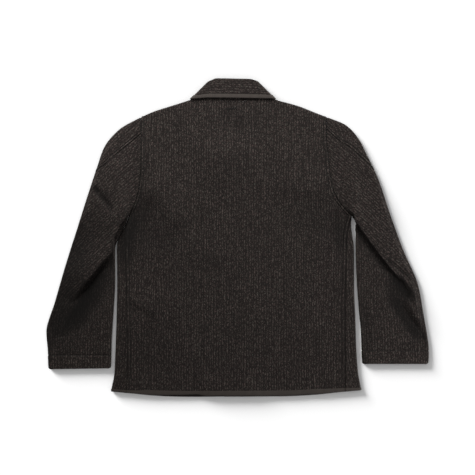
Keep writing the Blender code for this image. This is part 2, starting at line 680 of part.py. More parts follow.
def collar_points(rolls, edges, leaf, shares, radii, inset):
    """Grid of a collar piece, a row for each share from the roll line to the edge.

    A row goes up the left front leaf on the floor side, round the left fold, across the back on top, round
    the right fold and down the right leaf. leaf gives the plan points of a leaf, front end first.
    """
    rows = []
    angles = np.linspace(-0.5, 0.5, ROLL_STEPS + 1)[1:-1] * np.pi
    roll_folds = collar_back(rolls, edges, 0.0, radii[-1])[1]
    for share, radius in zip(shares, radii):
        across, middles, faces = collar_back(rolls, edges, share, radii[-1])
        turn = radius - inset
        halves = []
        for side in (0, 1):
            flat = leaf(side, share, roll_folds[side], middles[side])
            low = np.column_stack([flat, np.full(len(flat), COLLAR_MIDDLE - turn)])
            fold = middles[side] + faces[side] * turn * np.cos(angles)[:, None]
            fold = np.column_stack([fold, COLLAR_MIDDLE + turn * np.sin(angles)])
            halves.append(np.concatenate([low, fold]))
        top = np.column_stack([across, np.full(len(across), COLLAR_MIDDLE + turn)])
        rows.append(np.concatenate([halves[0], top, halves[1][::-1]]))
    return np.array(rows)


def corner_points(corners):
    """Plan points of the roll line and of the edge at the given corners of the fall."""
    rolls = np.array([(corner.roll_x, corner.roll_y) for corner in corners])
    edges = np.array([(corner.edge_x, corner.edge_y) for corner in corners])
    return rolls, edges


def fall_leaf(side, share, roll_fold, fold):
    """A front leaf of the fall, straight from its front end to the fold."""
    rolls, edges = corner_points((LEFT_POINT, RIGHT_POINT))
    front = blend(rolls[side], edges[side], share)
    return blend(front, fold, np.linspace(0.0, 1.0, LEAF_STEPS + 1)[:, None])


def stand_leaf(side, share, roll_fold, fold):
    """A front of the stand: straight along the roll line, and along the neck curve at its seam."""
    outward = (-1.0, 1.0)[side]
    steps = np.linspace(0.0, 1.0, NECK_STEPS + 1)
    rolls, edges = corner_points((LEFT_POINT, RIGHT_POINT))
    roll_end = blend(rolls[side], edges[side], STAND_TOP_SHARE)
    roll = blend(roll_end, roll_fold, steps[:, None])
    angle = 0.5 * np.pi * steps
    half = NECK_HALF - STAND_RADIUS * steps**2
    neck_x = CENTRE_X + outward * np.maximum(half * np.sin(angle), STAND_FRONT_GAP)
    neck_y = NECK_SIDE_Y + STAND_SEAM_GAP - FRONT_NECK_DEPTH * np.cos(angle)
    points = blend(roll, np.column_stack([neck_x, neck_y]), share)
    points[-1] = fold
    return points


def make_collar(cloth, tape):
    """The fall folds over the stand, and a tape binds the fall's edge."""
    rolls, edges = corner_points((LEFT_FOLD, BACK_LEFT, BACK_CENTRE, BACK_RIGHT, RIGHT_FOLD))
    curl = np.radians([90.0, 45.0, 0.0])
    depth = np.hypot(*(edges[2] - rolls[2]))
    tape_share = 1.0 - COLLAR_TAPE_WIDTH / depth
    shares = np.concatenate([COLLAR_CURL_SHARE * (1.0 - np.sin(curl)), [0.5, tape_share, 1.0]])
    radii = FALL_RADIUS - np.concatenate([COLLAR_CURL * (1.0 - np.cos(curl)), np.zeros(3)])
    fall = [collar_points(rolls, edges, fall_leaf, shares, radii, inset) for inset in (0.0, CLOTH)]
    cloth_wall("collar_fall", *fall, cloth)
    binding("collar_binding", fall[0][[-1, -2]], fall[1][[-1, -2]], tape)
    stand_top = blend(rolls, edges, STAND_TOP_SHARE)
    inwards = unit(np.array([stand_top[1] - stand_top[0], stand_top[3] - stand_top[4]]))
    stand_top[[0, 4]] += inwards * (FALL_RADIUS - STAND_RADIUS)
    neck_x = CENTRE_X + NECK_HALF * np.array(NECK_SHARES)
    neck_line = np.column_stack([neck_x, shoulder_y(neck_x) + STAND_SEAM_GAP])
    shares = np.array(STAND_SHARES)
    radii = np.full(len(shares), STAND_RADIUS)
    stand = [collar_points(stand_top, neck_line, stand_leaf, shares, radii, inset) for inset in (0.0, CLOTH)]
    cloth_wall("collar_stand", *stand, cloth)


def make_buttons(material):
    """Dished buttons under the outer front, turned from a half profile."""
    height = BUTTON_THICKNESS
    back_face = [(0.0, height), (0.86, height), (1.0, 0.7 * height)]
    dished_face = [(0.94, 0.0), (0.7, 0.0), (0.6, BUTTON_DISH), (0.0, BUTTON_DISH)]
    profile = back_face + dished_face
    turn = np.arange(BUTTON_SIDES) * 2.0 * np.pi / BUTTON_SIDES
    for index in range(BUTTON_COUNT):
        centre = np.array([CENTRE_X, BUTTON_TOP_Y - BUTTON_PITCH * index])
        points = [(*centre, profile[0][1]), (*centre, profile[-1][1])]
        for radius, z in profile[1:-1]:
            ring = centre + BUTTON_RADIUS * radius * np.column_stack([np.cos(turn), np.sin(turn)])
            points += [(*spot, z) for spot in ring]
        rings = len(profile) - 2
        number = 2 + np.arange(rings * BUTTON_SIDES).reshape(rings, BUTTON_SIDES)
        ahead = np.roll(number, -1, axis=1)
        faces = np.stack([number[:-1], number[1:], ahead[1:], ahead[:-1]], axis=-1).reshape(-1, 4).tolist()
        faces += [(0, first, second) for first, second in zip(number[0], ahead[0])]
        faces += [(1, second, first) for first, second in zip(number[-1], ahead[-1])]
        finish_mesh(f"button_{index + 1}", points, faces, material)


def make_jacket():
    for old in list(bpy.data.objects):
        bpy.data.objects.remove(old)
    wool = make_material("wool", (0.027, 0.022, 0.020), 0.95)
    tape = make_material("tape", (0.060, 0.050, 0.045), 0.85)
    horn = make_material("horn", (0.020, 0.016, 0.014), 0.40)
    outer, inner = make_back(wool)
    binding("hem_binding_back", outer[:2], inner[:2], tape)
    for name, side, outward, over in (("left", LEFT_SIDE, -1.0, False), ("right", RIGHT_SIDE, 1.0, True)):
        outer, inner = make_front(f"front_{name}", side, outward, over, wool)
        binding(f"hem_binding_front_{name}", outer[:2], inner[:2], tape)
    make_sleeve("sleeve_left", LEFT_SLEEVE, LEFT_SIDE, LEFT_SEAM, LEFT_SLEEVE_FOLDS, wool)
    make_sleeve("sleeve_right", RIGHT_SLEEVE, RIGHT_SIDE, RIGHT_SEAM, RIGHT_SLEEVE_FOLDS, wool)
    make_collar(wool, tape)
    make_buttons(horn)


make_jacket()
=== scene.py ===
# %% [markdown]
# # A wool work jacket, laid flat on its front
# The jacket lies back side up on a white surface and is seen from straight above. Its cloth is a thick
# charcoal wool with fine ribs, and tapes bind the collar's edge and the hem. Each sewn piece is made as a
# thin closed shell on the form of its CAD solid, with the creases, seams and ribs that the solid leaves out.

# %% Load the CAD frame
from collections import namedtuple

import bpy
import numpy as np
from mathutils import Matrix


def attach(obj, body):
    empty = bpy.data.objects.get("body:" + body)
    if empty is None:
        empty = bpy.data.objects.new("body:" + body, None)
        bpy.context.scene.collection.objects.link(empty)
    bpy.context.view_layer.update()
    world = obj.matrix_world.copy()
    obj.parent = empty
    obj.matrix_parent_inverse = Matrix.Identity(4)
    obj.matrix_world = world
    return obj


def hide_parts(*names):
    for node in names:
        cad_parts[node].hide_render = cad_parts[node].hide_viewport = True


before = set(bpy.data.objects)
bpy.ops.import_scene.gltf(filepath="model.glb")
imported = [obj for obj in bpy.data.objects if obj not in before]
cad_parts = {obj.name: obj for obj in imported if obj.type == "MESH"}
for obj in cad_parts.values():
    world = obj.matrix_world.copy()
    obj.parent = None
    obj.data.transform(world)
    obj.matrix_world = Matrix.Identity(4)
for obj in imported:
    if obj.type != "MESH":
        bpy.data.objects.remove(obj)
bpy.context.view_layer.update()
MM = 0.001

# %% [markdown]
# ## The cut of the body
# A flat-laid jacket is an outline with seams in it. These tables follow the outline and the side seams from
# the hem up, in millimetres, and a smooth curve runs through each column. Nearly the same numbers shape the
# solids, so a shell lands on its solid or, at the neck and the right side, within a few millimetres of it. A
# drawn spline would work too, but a table is easier to correct.

# %% Tables of the body
CENTRE_X = -8.5
UNDERARM_Y = 46.7
SHOULDER_Y = 274.7
NECK_SIDE_Y = 317.5
NECK_HALF = 89.5


def table(kind, rows):
    """Rows of numbers with the columns that their kind names."""
    return [kind(*row) for row in rows]


BodySide = namedtuple("BodySide", "y edge_x seam_x")
LEFT_SIDE = table(BodySide, [
    (-350.0, -288.0, -252.0),
    (-311.0, -280.7, -251.5),
    (-256.0, -278.3, -251.0),
    (-188.0, -276.0, -252.0),
    (-106.0, -274.5, -253.5),
    (-28.0, -275.5, -256.5),
    (-3.0, -269.5, -257.5),
    (22.0, -258.3, -254.3),
    (UNDERARM_Y, -248.0, -248.0),
    (67.0, -239.6, -239.6),
    (92.0, -229.0, -229.0),
    (120.0, -223.4, -223.4),
    (165.0, -219.6, -219.6),
    (222.0, -219.3, -219.3),
    (SHOULDER_Y, -220.0, -220.0),
])
RIGHT_SIDE = table(BodySide, [
    (-350.0, 282.0, 244.5),
    (-311.0, 275.0, 245.0),
    (-256.0, 271.0, 245.0),
    (-188.0, 268.8, 245.0),
    (-120.0, 266.2, 245.3),
    (-51.0, 265.9, 247.4),
    (-24.0, 265.2, 248.0),
    (3.0, 261.7, 249.5),
    (31.0, 258.8, 255.0),
    (UNDERARM_Y, 260.5, 260.5),
    (55.0, 254.5, 254.5),
    (69.5, 241.7, 241.7),
    (88.0, 227.5, 227.5),
    (108.0, 218.4, 218.4),
    (136.0, 212.3, 212.3),
    (188.0, 206.3, 206.3),
    (234.0, 202.8, 202.8),
    (SHOULDER_Y, 204.0, 204.0),
])
EdgePoint = namedtuple("EdgePoint", "x y")
HEM = table(EdgePoint, [
    (-288.0, -350.0),
    (-199.0, -357.2),
    (-108.0, -359.8),
    (0.0, -359.0),
    (97.0, -358.8),
    (188.0, -354.6),
    (282.0, -347.0),
])
SHOULDERS = table(EdgePoint, [
    (-220.0, SHOULDER_Y),
    (-189.0, 287.8),
    (-162.0, 296.0),
    (-134.5, 305.4),
    (-109.0, 314.4),
    (CENTRE_X - NECK_HALF, NECK_SIDE_Y),
    (CENTRE_X, 309.2),
    (CENTRE_X + NECK_HALF, NECK_SIDE_Y),
    (92.0, 313.4),
    (111.7, 308.0),
    (139.0, 299.2),
    (166.4, 288.8),
    (204.0, SHOULDER_Y),
])


def column(rows, name):
    """A table's column as an array."""
    return np.array([getattr(row, name) for row in rows], float)


def smooth(knots, values, at):
    """Monotone cubic through a table's column, so that an outline never swings past its points."""
    knots = np.asarray(knots, float)
    values = np.asarray(values, float)
    at = np.clip(at, knots[0], knots[-1])
    steps = np.diff(knots)
    rates = np.diff(values) / steps
    slopes = np.concatenate(([rates[0]], np.zeros(len(knots) - 2), [rates[-1]]))
    before, after = rates[:-1], rates[1:]
    same_way = before * after > 0
    total = np.where(same_way, before + after, 1.0)
    slopes[1:-1] = np.where(same_way, 2.0 * before * after / total, 0.0)
    cell = np.clip(np.searchsorted(knots, at, side="right") - 1, 0, len(steps) - 1)
    t = (at - knots[cell]) / steps[cell]
    rise = (2 * t - 3) * t * t
    start = (rise + 1) * values[cell] + (t - 2 * t * t + t**3) * steps[cell] * slopes[cell]
    return start - rise * values[cell + 1] + (t**3 - t * t) * steps[cell] * slopes[cell + 1]


def curve(rows, along, name, at):
    """One column of a table against another, as a smooth curve."""
    return smooth(column(rows, along), column(rows, name), at)


def edge_x(side, y):
    """How far out the body's side reaches at a height up the page."""
    return curve(side, "y", "edge_x", y)


def seam_x(side, y):
    """Where the side seam or the armhole lies at a height up the page."""
    return curve(side, "y", "seam_x", y)


def hem_y(x):
    """Height up the page of the hem."""
    return curve(HEM, "x", "y", x)


def shoulder_y(x):
    """Height up the page of the shoulders and the back of the neck."""
    return curve(SHOULDERS, "x", "y", x)


print("Hem width:", round(RIGHT_SIDE[0].edge_x - LEFT_SIDE[0].edge_x), "mm")

# %% [markdown]
# ## Folds
# Cloth that is laid down by hand keeps a few creases where it was pulled or doubled. Each is one line of a
# table: a bowed run through three points, how high it stands, how wide it is to either side of its run, how
# far its crest leans over, and the shares of the run over which it fades in and out. A soft crease is a bell
# across the run. A leaning crest is pushed sideways more at the top than at the foot, so its edge stands up
# like a lip and shades the hollow beside it.

# %% Fold shapes
Fold = namedtuple(
    "Fold",
    "start_x start_y middle_x middle_y end_x end_y height left_width right_width lean fade_in fade_out",
)
LIP_BACK, LIP_FOOT, LIP_FOOT_SHARE = 0.5, 1.1, 0.55


def ramp(at, low, high):
    """Soft step from 0 at low to 1 at high, either way round."""
    t = np.clip((np.asarray(at, float) - low) / (high - low), 0.0, 1.0)
    return t * t * (3.0 - 2.0 * t)


def blend(first, second, share):
    """A share of the way from the first to the second."""
    return first + (second - first) * share


def bell(distance, spread):
    """1 at no distance, falling off to either side as the bell curve does."""
    return np.exp(-((distance / spread) ** 2))


def fold_place(fold, x, y):
    """Share of the way along a fold's run, and signed distance from it, plus to the left of its heading.

    The run is a parabola over the line from start to end, through the middle point.
    """
    chord = np.array([fold.end_x - fold.start_x, fold.end_y - fold.start_y])
    length = np.hypot(*chord)
    heading = chord / length
    share = ((x - fold.start_x) * heading[0] + (y - fold.start_y) * heading[1]) / length
    offset = (y - fold.start_y) * heading[0] - (x - fold.start_x) * heading[1]
    middle = np.array([fold.middle_x - fold.start_x, fold.middle_y - fold.start_y])
    middle_share = middle @ heading / length
    middle_offset = middle[1] * heading[0] - middle[0] * heading[1]
    bow = middle_offset * share * (1.0 - share) / (middle_share * (1.0 - middle_share))
    return share, offset - bow, heading


def fold_shift(folds, x, y):
    """How far the folds move plan points: sideways in x and y, and up in z."""
    shift = np.zeros((*x.shape, 3))
    for fold in folds:
        share, side, heading = fold_place(fold, x, y)
        strength = ramp(share, 0.0, fold.fade_in) * ramp(share, 1.0, 1.0 - fold.fade_out)
        width = np.where(side > 0, fold.left_width, fold.right_width)
        shift[..., 2] += fold.height * strength * bell(side, width)
        reach = side * np.sign(fold.lean) / min(fold.left_width, fold.right_width)
        lip = bell(reach + LIP_BACK, 1.0) - LIP_FOOT_SHARE * bell(reach - LIP_FOOT, 1.0)
        sideways = fold.lean * strength * lip
        shift[..., 0] -= sideways * heading[1]
        shift[..., 1] += sideways * heading[0]
    return shift


def hollows(folds, x, y):
    """Depth of the troughs, which sets their painted shade: the sum of the folds of negative height."""
    return -fold_shift([fold for fold in folds if fold.height < 0], x, y)[..., 2]


BACK_FOLDS = table(Fold, [
    (219.0, 70.0, 231.0, 10.0, 242.0, -60.0, -3.2, 10.0, 13.0, 0.0, 0.3, 0.4),
    (-252.0, -138.0, -217.7, -157.0, -170.0, -180.0, 3.2, 30.0, 7.0, 0.0, 0.3, 0.4),
    (-236.0, 74.0, -252.0, 10.0, -264.0, -110.0, -7.0, 22.0, 14.0, 0.0, 0.2, 0.6),
    (-216.0, 140.0, -160.0, 75.0, -105.0, 5.0, 8.0, 70.0, 34.0, 0.0, 0.3, 0.4),
    (-204.0, 126.0, -222.0, 40.0, -238.0, -30.0, -2.6, 26.0, 24.0, 0.0, 0.4, 0.4),
    (-300.0, 156.0, -222.0, 160.0, -135.0, 168.0, 6.0, 64.0, 60.0, 0.0, 0.3, 0.4),
    (-225.0, -180.0, -192.0, -240.0, -172.0, -335.0, -1.0, 46.0, 46.0, 0.0, 0.4, 0.3),
    (-236.0, 2.0, -180.0, -4.0, -110.0, -22.0, -1.6, 30.0, 30.0, 0.0, 0.3, 0.5),
    (-100.0, 262.0, 0.0, 264.0, 110.0, 256.0, -1.6, 26.0, 26.0, 0.0, 0.4, 0.4),
    (-110.0, 182.0, -12.0, 185.0, 80.0, 180.0, 7.2, 36.0, 70.0, 0.0, 0.4, 0.4),
    (40.0, 114.0, 120.0, 116.0, 225.0, 104.0, 6.0, 60.0, 27.0, 0.0, 0.4, 0.35),
    (90.0, 66.0, 190.0, 44.0, 270.0, -40.0, -1.6, 42.0, 42.0, 0.0, 0.4, 0.3),
    (-190.0, -20.0, -90.0, -36.0, 20.0, -34.0, 1.6, 40.0, 26.0, 0.0, 0.4, 0.4),
    (-60.0, -150.0, 20.0, -176.0, 120.0, -190.0, 1.6, 26.0, 34.0, 0.0, 0.4, 0.4),
])
print("Creases on the back:", len(BACK_FOLDS))

# %% [markdown]
# ## A wall of cloth
# Wool this thick has two faces and a cut edge, so each piece is a closed wall: an outer grid of points, an
# inner grid a cloth's thickness behind it, and a rim between them. The outer grid also carries the raised
# welts and the stitched grooves. A UV map counts ribs across the cloth, so the weave can follow a turned
# edge.

# %% Shell helpers
CLOTH = 2.4
SEAM_GAP = 0.3
HALF_GAP = 0.5 * SEAM_GAP
TWO_LAYERS = 2.0 * CLOTH + SEAM_GAP
QUARTER_TURN, FULL_TURN = 0.5 * np.pi, 2.0 * np.pi
LEAST_LENGTH = 1e-9
UP = np.array([0.0, 0.0, 1.0])
RIB_PITCH = 5.7
SEAM_DIP, SEAM_SPREAD, GROOVE_SPREAD = 1.7, 1.5, 1.1
# Painted shade: how much a trough's depth and a seam's groove darken the wool's colour, and how much a welt
# lightens it as a painted highlight
HOLLOW_PAINTED_SHADE, SEAM_PAINTED_SHADE, WELT_PAINTED_HIGHLIGHT = 0.19, 1.4, 0.12
SHARP_ANGLE = np.radians(50.0)


def unit(vectors):
    """Vectors divided by their lengths."""
    return vectors / np.maximum(np.linalg.norm(vectors, axis=-1, keepdims=True), LEAST_LENGTH)


def grid_normals(points, towards):
    """Unit normals of a grid: the cross product of its running differences, on the side of towards."""
    normals = unit(np.cross(np.gradient(points, axis=1), np.gradient(points, axis=0)))
    return normals * np.sign((normals * towards).sum())


def add_object(name, data):
    """An object with the given data, put into the scene."""
    made = bpy.data.objects.new(name, data)
    bpy.context.scene.collection.objects.link(made)
    return made


def add_mesh(name, points, faces, material):
    """A smooth-shaded object at the origin, from points in millimetres."""
    mesh = bpy.data.meshes.new(name)
    mesh.from_pydata((np.asarray(points) * MM).tolist(), [], np.asarray(faces).tolist())
    mesh.shade_smooth()
    mesh.set_sharp_from_angle(angle=SHARP_ANGLE)
    mesh.materials.append(material)
    return add_object(name, mesh)


def add_grain(made, corners):
    """Give a mesh its UV map: rib count across and along the ribs, at every face corner."""
    layer = made.data.uv_layers.new(name="grain")
    layer.data.foreach_set("uv", np.asarray(corners, np.float32).ravel())


def cloth_shell(name, surface, normals, relief, wall, grain, material, hollow=0.0):
    """A closed wall: the surface raised by its relief, an inner grid one wall behind, and a rim.

    The outer grid stays above the floor. grain is the rib count across and along at each grid point, and
    hollow the depth of the folds' troughs. Hollows, seams and grooves get painted shade in their colour, and
    welts a painted highlight.
    """
    outer = surface + normals * np.broadcast_to(relief, surface.shape[:2])[..., None]
    outer[..., 2] = np.maximum(outer[..., 2], 0.0)
    inner = surface - normals * np.broadcast_to(wall, surface.shape[:2])[..., None]
    rows, columns = surface.shape[:2]
    number = np.arange(rows * columns).reshape(rows, columns)
    below = rows * columns
    quads = np.stack([number[:-1, :-1], number[:-1, 1:], number[1:, 1:], number[1:, :-1]], axis=-1)
    quads = quads.reshape(-1, 4)
    ring = np.concatenate([number[0], number[1:, -1], number[-1, -2::-1], number[-2:0:-1, 0]])
    ahead = np.roll(ring, -1)
    rim = np.stack([ahead, ring, ring + below, ahead + below], axis=-1)
    faces = np.concatenate([quads, quads[:, ::-1] + below, rim])
    turned = np.cross(surface[0, 1] - surface[0, 0], surface[1, 0] - surface[0, 0])
    if turned @ normals[0, 0] < 0:
        faces = faces[:, ::-1]
    made = add_mesh(name, np.concatenate([outer.reshape(-1, 3), inner.reshape(-1, 3)]), faces, material)
    add_grain(made, np.tile(grain.reshape(-1, 2), (2, 1))[faces])
    # Painted shade darkens the colour in fold troughs and seam grooves, where shade falls, and a painted
    # highlight lightens the welts
    painted_shade_amount = HOLLOW_PAINTED_SHADE * hollow + SEAM_PAINTED_SHADE * np.clip(-relief / SEAM_DIP, -WELT_PAINTED_HIGHLIGHT, 1.0)
    pressed = np.broadcast_to(1.0 - np.exp(-painted_shade_amount), surface.shape[:2]).ravel()
    layer = made.data.attributes.new("pressed", "FLOAT", "POINT")
    layer.data.foreach_set("value", np.tile(pressed, 2).astype(np.float32))
    return made, outer


def sew_in(made, nodes):
    """Fix a finished piece to the jacket in place of its CAD nodes."""
    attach(made, "root")
    if nodes:
        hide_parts(*nodes)
    print(made.name, len(made.data.polygons), "faces")


# %% [markdown]
# ## Materials
# The wool mixes dark and light yarns, so each rib is a row of uneven flecks with a darker groove beside it.
# Cells that are stretched along the rib make the flecks, strongest on its ridge, and a cosine across the rib
# makes the groove. Both also drive a bump, with fine noise for the fibres. Streaks along the ribs and a
# slight change of hue keep large areas from looking printed. The colour is darkened in hollows and seams as
# painted shade, and lightened on welts as a painted highlight. The tape is smoother and lighter, with very
# fine cross ribs.

# %% Shader nodes
NOISE_MEAN, CELL_POWER = 0.5, 1.5
CELL_MEAN = 1.0 / (1.0 + CELL_POWER)


def feed(tree, socket, value):
    """Link an output to a socket, or set the socket to a plain value."""
    if isinstance(value, bpy.types.NodeSocket):
        tree.links.new(value, socket)
    else:
        socket.default_value = value


def maths(tree, operation, *values):
    """One operation on plain values and on outputs of other nodes."""
    made = tree.nodes.new("ShaderNodeMath")
    made.operation = operation
    for socket, value in zip(made.inputs, values):
        feed(tree, socket, value)
    return made.outputs[0]


def times(tree, vector, factors):
    """A vector or a colour times three factors, or times one output for all three."""
    made = tree.nodes.new("ShaderNodeVectorMath")
    made.operation = "MULTIPLY"
    tree.links.new(vector, made.inputs[0])
    feed(tree, made.inputs[1], factors)
    return made.outputs[0]


def rib_place(tree):
    """The place on the UV map, and its rib counts across and along."""
    made = tree.nodes.new("ShaderNodeUVMap")
    made.uv_map = "grain"
    split = tree.nodes.new("ShaderNodeSeparateXYZ")
    tree.links.new(made.outputs[0], split.inputs[0])
    return made.outputs[0], split.outputs[0], split.outputs[1]


def ribs(tree, count):
    """The cosine of a rib count: 1 in each groove and -1 on each ridge."""
    return maths(tree, "COSINE", maths(tree, "MULTIPLY", count, FULL_TURN))


def stretched(tree, place, stretch):
    """The place times a stretch across and along the ribs."""
    return times(tree, place, (*stretch, 1.0))


def noise(tree, place, detail, scale=1.0):
    """Noise less its mean, so that it lies about zero."""
    made = tree.nodes.new("ShaderNodeTexNoise")
    tree.links.new(place, made.inputs["Vector"])
    made.inputs["Scale"].default_value = scale
    made.inputs["Detail"].default_value = detail
    return maths(tree, "SUBTRACT", made.outputs[0], NOISE_MEAN)


def cells(tree, place):
    """A random value for each cell of a cracked pattern, raised to a power, less its mean."""
    made = tree.nodes.new("ShaderNodeTexVoronoi")
    tree.links.new(place, made.inputs["Vector"])
    made.inputs["Scale"].default_value = 1.0
    split = tree.nodes.new("ShaderNodeSeparateColor")
    tree.links.new(made.outputs["Color"], split.inputs[0])
    return maths(tree, "SUBTRACT", maths(tree, "POWER", split.outputs[0], CELL_POWER), CELL_MEAN)


def weighted(tree, values, weights):
    """Sum of values, each times its weight."""
    total = 0.0
    for value, weight in zip(values, weights):
        total = maths(tree, "ADD", total, maths(tree, "MULTIPLY", value, weight))
    return total


def colour_ramp(tree, value, stops):
    """Colours at their places along a value from 0 to 1."""
    made = tree.nodes.new("ShaderNodeValToRGB")
    tree.links.new(value, made.inputs[0])
    elements = made.color_ramp.elements
    while len(elements) < len(stops):
        elements.new(0.5)
    for element, (place, colour) in zip(elements, stops):
        element.position = place
        element.color = (*colour, 1.0)
    return made.outputs[0]


def bump(tree, height, strength, distance):
    """Normals tilted by the slope of a height, which is a share of a distance in metres."""
    made = tree.nodes.new("ShaderNodeBump")
    tree.links.new(height, made.inputs["Height"])
    made.inputs["Strength"].default_value = strength
    made.inputs["Distance"].default_value = distance
    return made.outputs[0]


def new_material(name, roughness, specular):
    """A material with its node tree and its shader."""
    material = bpy.data.materials.new(name)
    material.use_nodes = True
    tree = material.node_tree
    shader = tree.nodes["Principled BSDF"]
    shader.inputs["Roughness"].default_value = roughness
    shader.inputs["Specular IOR Level"].default_value = specular
    return material, tree, shader


# %% Wool
WoolStop = namedtuple("WoolStop", "place red green_share blue_share")
WOOL_STOPS = [
    WoolStop(0.0, 0.0037, 0.67, 0.615),
    WoolStop(0.4, 0.0081, 0.695, 0.637),
    WoolStop(0.72, 0.0161, 0.763, 0.68),
    WoolStop(1.0, 0.065, 0.815, 0.725),
]
# Reddish to greenish yarns: how far red, green and blue follow the tint
TINT_SHARES = (0.45, -0.3, -0.1)
# Repeats of each pattern in one rib's width, across and along the ribs
WAVER_STRETCH, FLECK_STRETCH, FIBRE_STRETCH = (0.3, 0.09), (6.6, 2.4), (9.0, 6.0)
STREAK_STRETCH, HUE_STRETCH = (2.0, 0.08), (1.5, 1.1)
# How far a rib wavers, in rib widths
WAVER = 1.2
# What the rib, the flecks on its ridge, all flecks, the fibres and the streaks add to the middle shade
MIDDLE_SHADE, WOOL_SHADES = 0.5, (-0.05, 0.42, 0.5, 0.4, 0.4)
# What the rib, the flecks and the fibres add to the bump's height, its strength, and its distance in metres
WOOL_HEIGHTS, WOOL_BUMP, WOOL_BUMP_DISTANCE = (-0.35, 0.25, 0.8), 0.5, 0.0006
WOOL_SHEEN = {"Sheen Weight": 0.06, "Sheen Roughness": 0.6, "Sheen Tint": (1.0, 0.9, 0.84, 1.0)}


def tinted(tree, colour, tint):
    """A colour with each channel raised or lowered by its share of a tint about zero."""
    shares = tree.nodes.new("ShaderNodeCombineXYZ")
    for socket, weight in zip(shares.inputs, TINT_SHARES):
        feed(tree, socket, maths(tree, "ADD", maths(tree, "MULTIPLY", tint, weight), 1.0))
    return times(tree, colour, shares.outputs[0])


def make_wool():
    """Ribbed wool: a groove by the cosine of the rib count, and flecks by cells stretched along the ribs."""
    material, tree, shader = new_material("wool_cloth", roughness=0.92, specular=0.15)
    place, count, _ = rib_place(tree)
    waver = noise(tree, stretched(tree, place, WAVER_STRETCH), detail=1.0)
    rib = ribs(tree, maths(tree, "ADD", count, maths(tree, "MULTIPLY", waver, WAVER)))
    flecks = cells(tree, stretched(tree, place, FLECK_STRETCH))
    on_ridge = maths(tree, "MULTIPLY", flecks, maths(tree, "SUBTRACT", 1.0, rib))
    fibres = noise(tree, stretched(tree, place, FIBRE_STRETCH), detail=2.0)
    streaks = noise(tree, stretched(tree, place, STREAK_STRETCH), detail=0.0)
    shade = weighted(tree, (rib, on_ridge, flecks, fibres, streaks), WOOL_SHADES)
    shade = maths(tree, "ADD", shade, MIDDLE_SHADE)
    stops = [(s.place, (s.red, s.red * s.green_share, s.red * s.blue_share)) for s in WOOL_STOPS]
    hues = noise(tree, stretched(tree, place, HUE_STRETCH), detail=1.0)
    colour = tinted(tree, colour_ramp(tree, shade, stops), hues)
    # Painted shade: the colour is scaled down in hollows and seams, and up on welts as a painted highlight
    pressed = tree.nodes.new("ShaderNodeAttribute")
    pressed.attribute_name = "pressed"
    colour = times(tree, colour, maths(tree, "SUBTRACT", 1.0, pressed.outputs["Fac"]))
    tree.links.new(colour, shader.inputs["Base Color"])
    height = weighted(tree, (rib, flecks, fibres), WOOL_HEIGHTS)
    tree.links.new(bump(tree, height, WOOL_BUMP, WOOL_BUMP_DISTANCE), shader.inputs["Normal"])
    for name, value in WOOL_SHEEN.items():
        shader.inputs[name].default_value = value
    return material


wool = make_wool()
print("Nodes of the wool:", len(wool.node_tree.nodes))

# %% Tape, thread and horn
# Cross ribs in the width of one rib of the wool, and what they and the noise add to the middle shade
TAPE_RIBS, TAPE_SHADES = 4.0, (0.12, 0.7)
TAPE_STRETCH, TAPE_BUMP, TAPE_BUMP_DISTANCE = (1.0, 0.5), 0.3, 0.0002
CLOUD_DARK, CLOUD_LIGHT = 0.3, 0.7


def make_tape(name, dark, light):
    """Ribbed tape: fine cross ribs by the cosine of the distance along it, over faint noise."""
    material, tree, shader = new_material(name, roughness=0.62, specular=0.3)
    place, _, along = rib_place(tree)
    rib = ribs(tree, maths(tree, "MULTIPLY", along, TAPE_RIBS))
    uneven = noise(tree, stretched(tree, place, TAPE_STRETCH), detail=2.0)
    shade = maths(tree, "ADD", weighted(tree, (rib, uneven), TAPE_SHADES), MIDDLE_SHADE)
    tree.links.new(colour_ramp(tree, shade, [(0.0, dark), (1.0, light)]), shader.inputs["Base Color"])
    tree.links.new(bump(tree, rib, TAPE_BUMP, TAPE_BUMP_DISTANCE), shader.inputs["Normal"])
    return material


def make_plain(name, dark, light, scale, roughness, specular):
    """A clouded surface: two shades mixed by noise on the object's own place."""
    material, tree, shader = new_material(name, roughness, specular)
    place = tree.nodes.new("ShaderNodeTexCoord").outputs["Object"]
    shade = maths(tree, "ADD", noise(tree, place, detail=3.0, scale=scale), MIDDLE_SHADE)
    stops = [(CLOUD_DARK, dark), (CLOUD_LIGHT, light)]
    tree.links.new(colour_ramp(tree, shade, stops), shader.inputs["Base Color"])
    return material


collar_tape = make_tape("collar_tape", (0.0315, 0.0258, 0.0229), (0.0559, 0.0458, 0.0403))
hem_tape = make_tape("hem_tape", (0.0288, 0.0234, 0.0201), (0.0539, 0.0433, 0.0372))
thread = make_plain(
    "sewing_thread", (0.006, 0.005, 0.0045), (0.011, 0.0092, 0.0082), scale=900.0, roughness=0.7, specular=0.3
)
horn = make_plain(
    "dark_horn", (0.009, 0.006, 0.0045), (0.035, 0.024, 0.017), scale=120.0, roughness=0.35, specular=0.5
)
print("Materials:", [item.name for item in bpy.data.materials])

# %% [markdown]
# ## The back
# One wide piece runs from side seam to side seam and turns over at the shoulders. It lies on the fronts, so
# it is level at the sides and a little higher over their overlap and round the neck. Along both sides its
# seam allowance is turned in and stitched down, which raises a welt between the seam and the stitched groove.
# Columns of points sit close together there and wider apart in the middle.

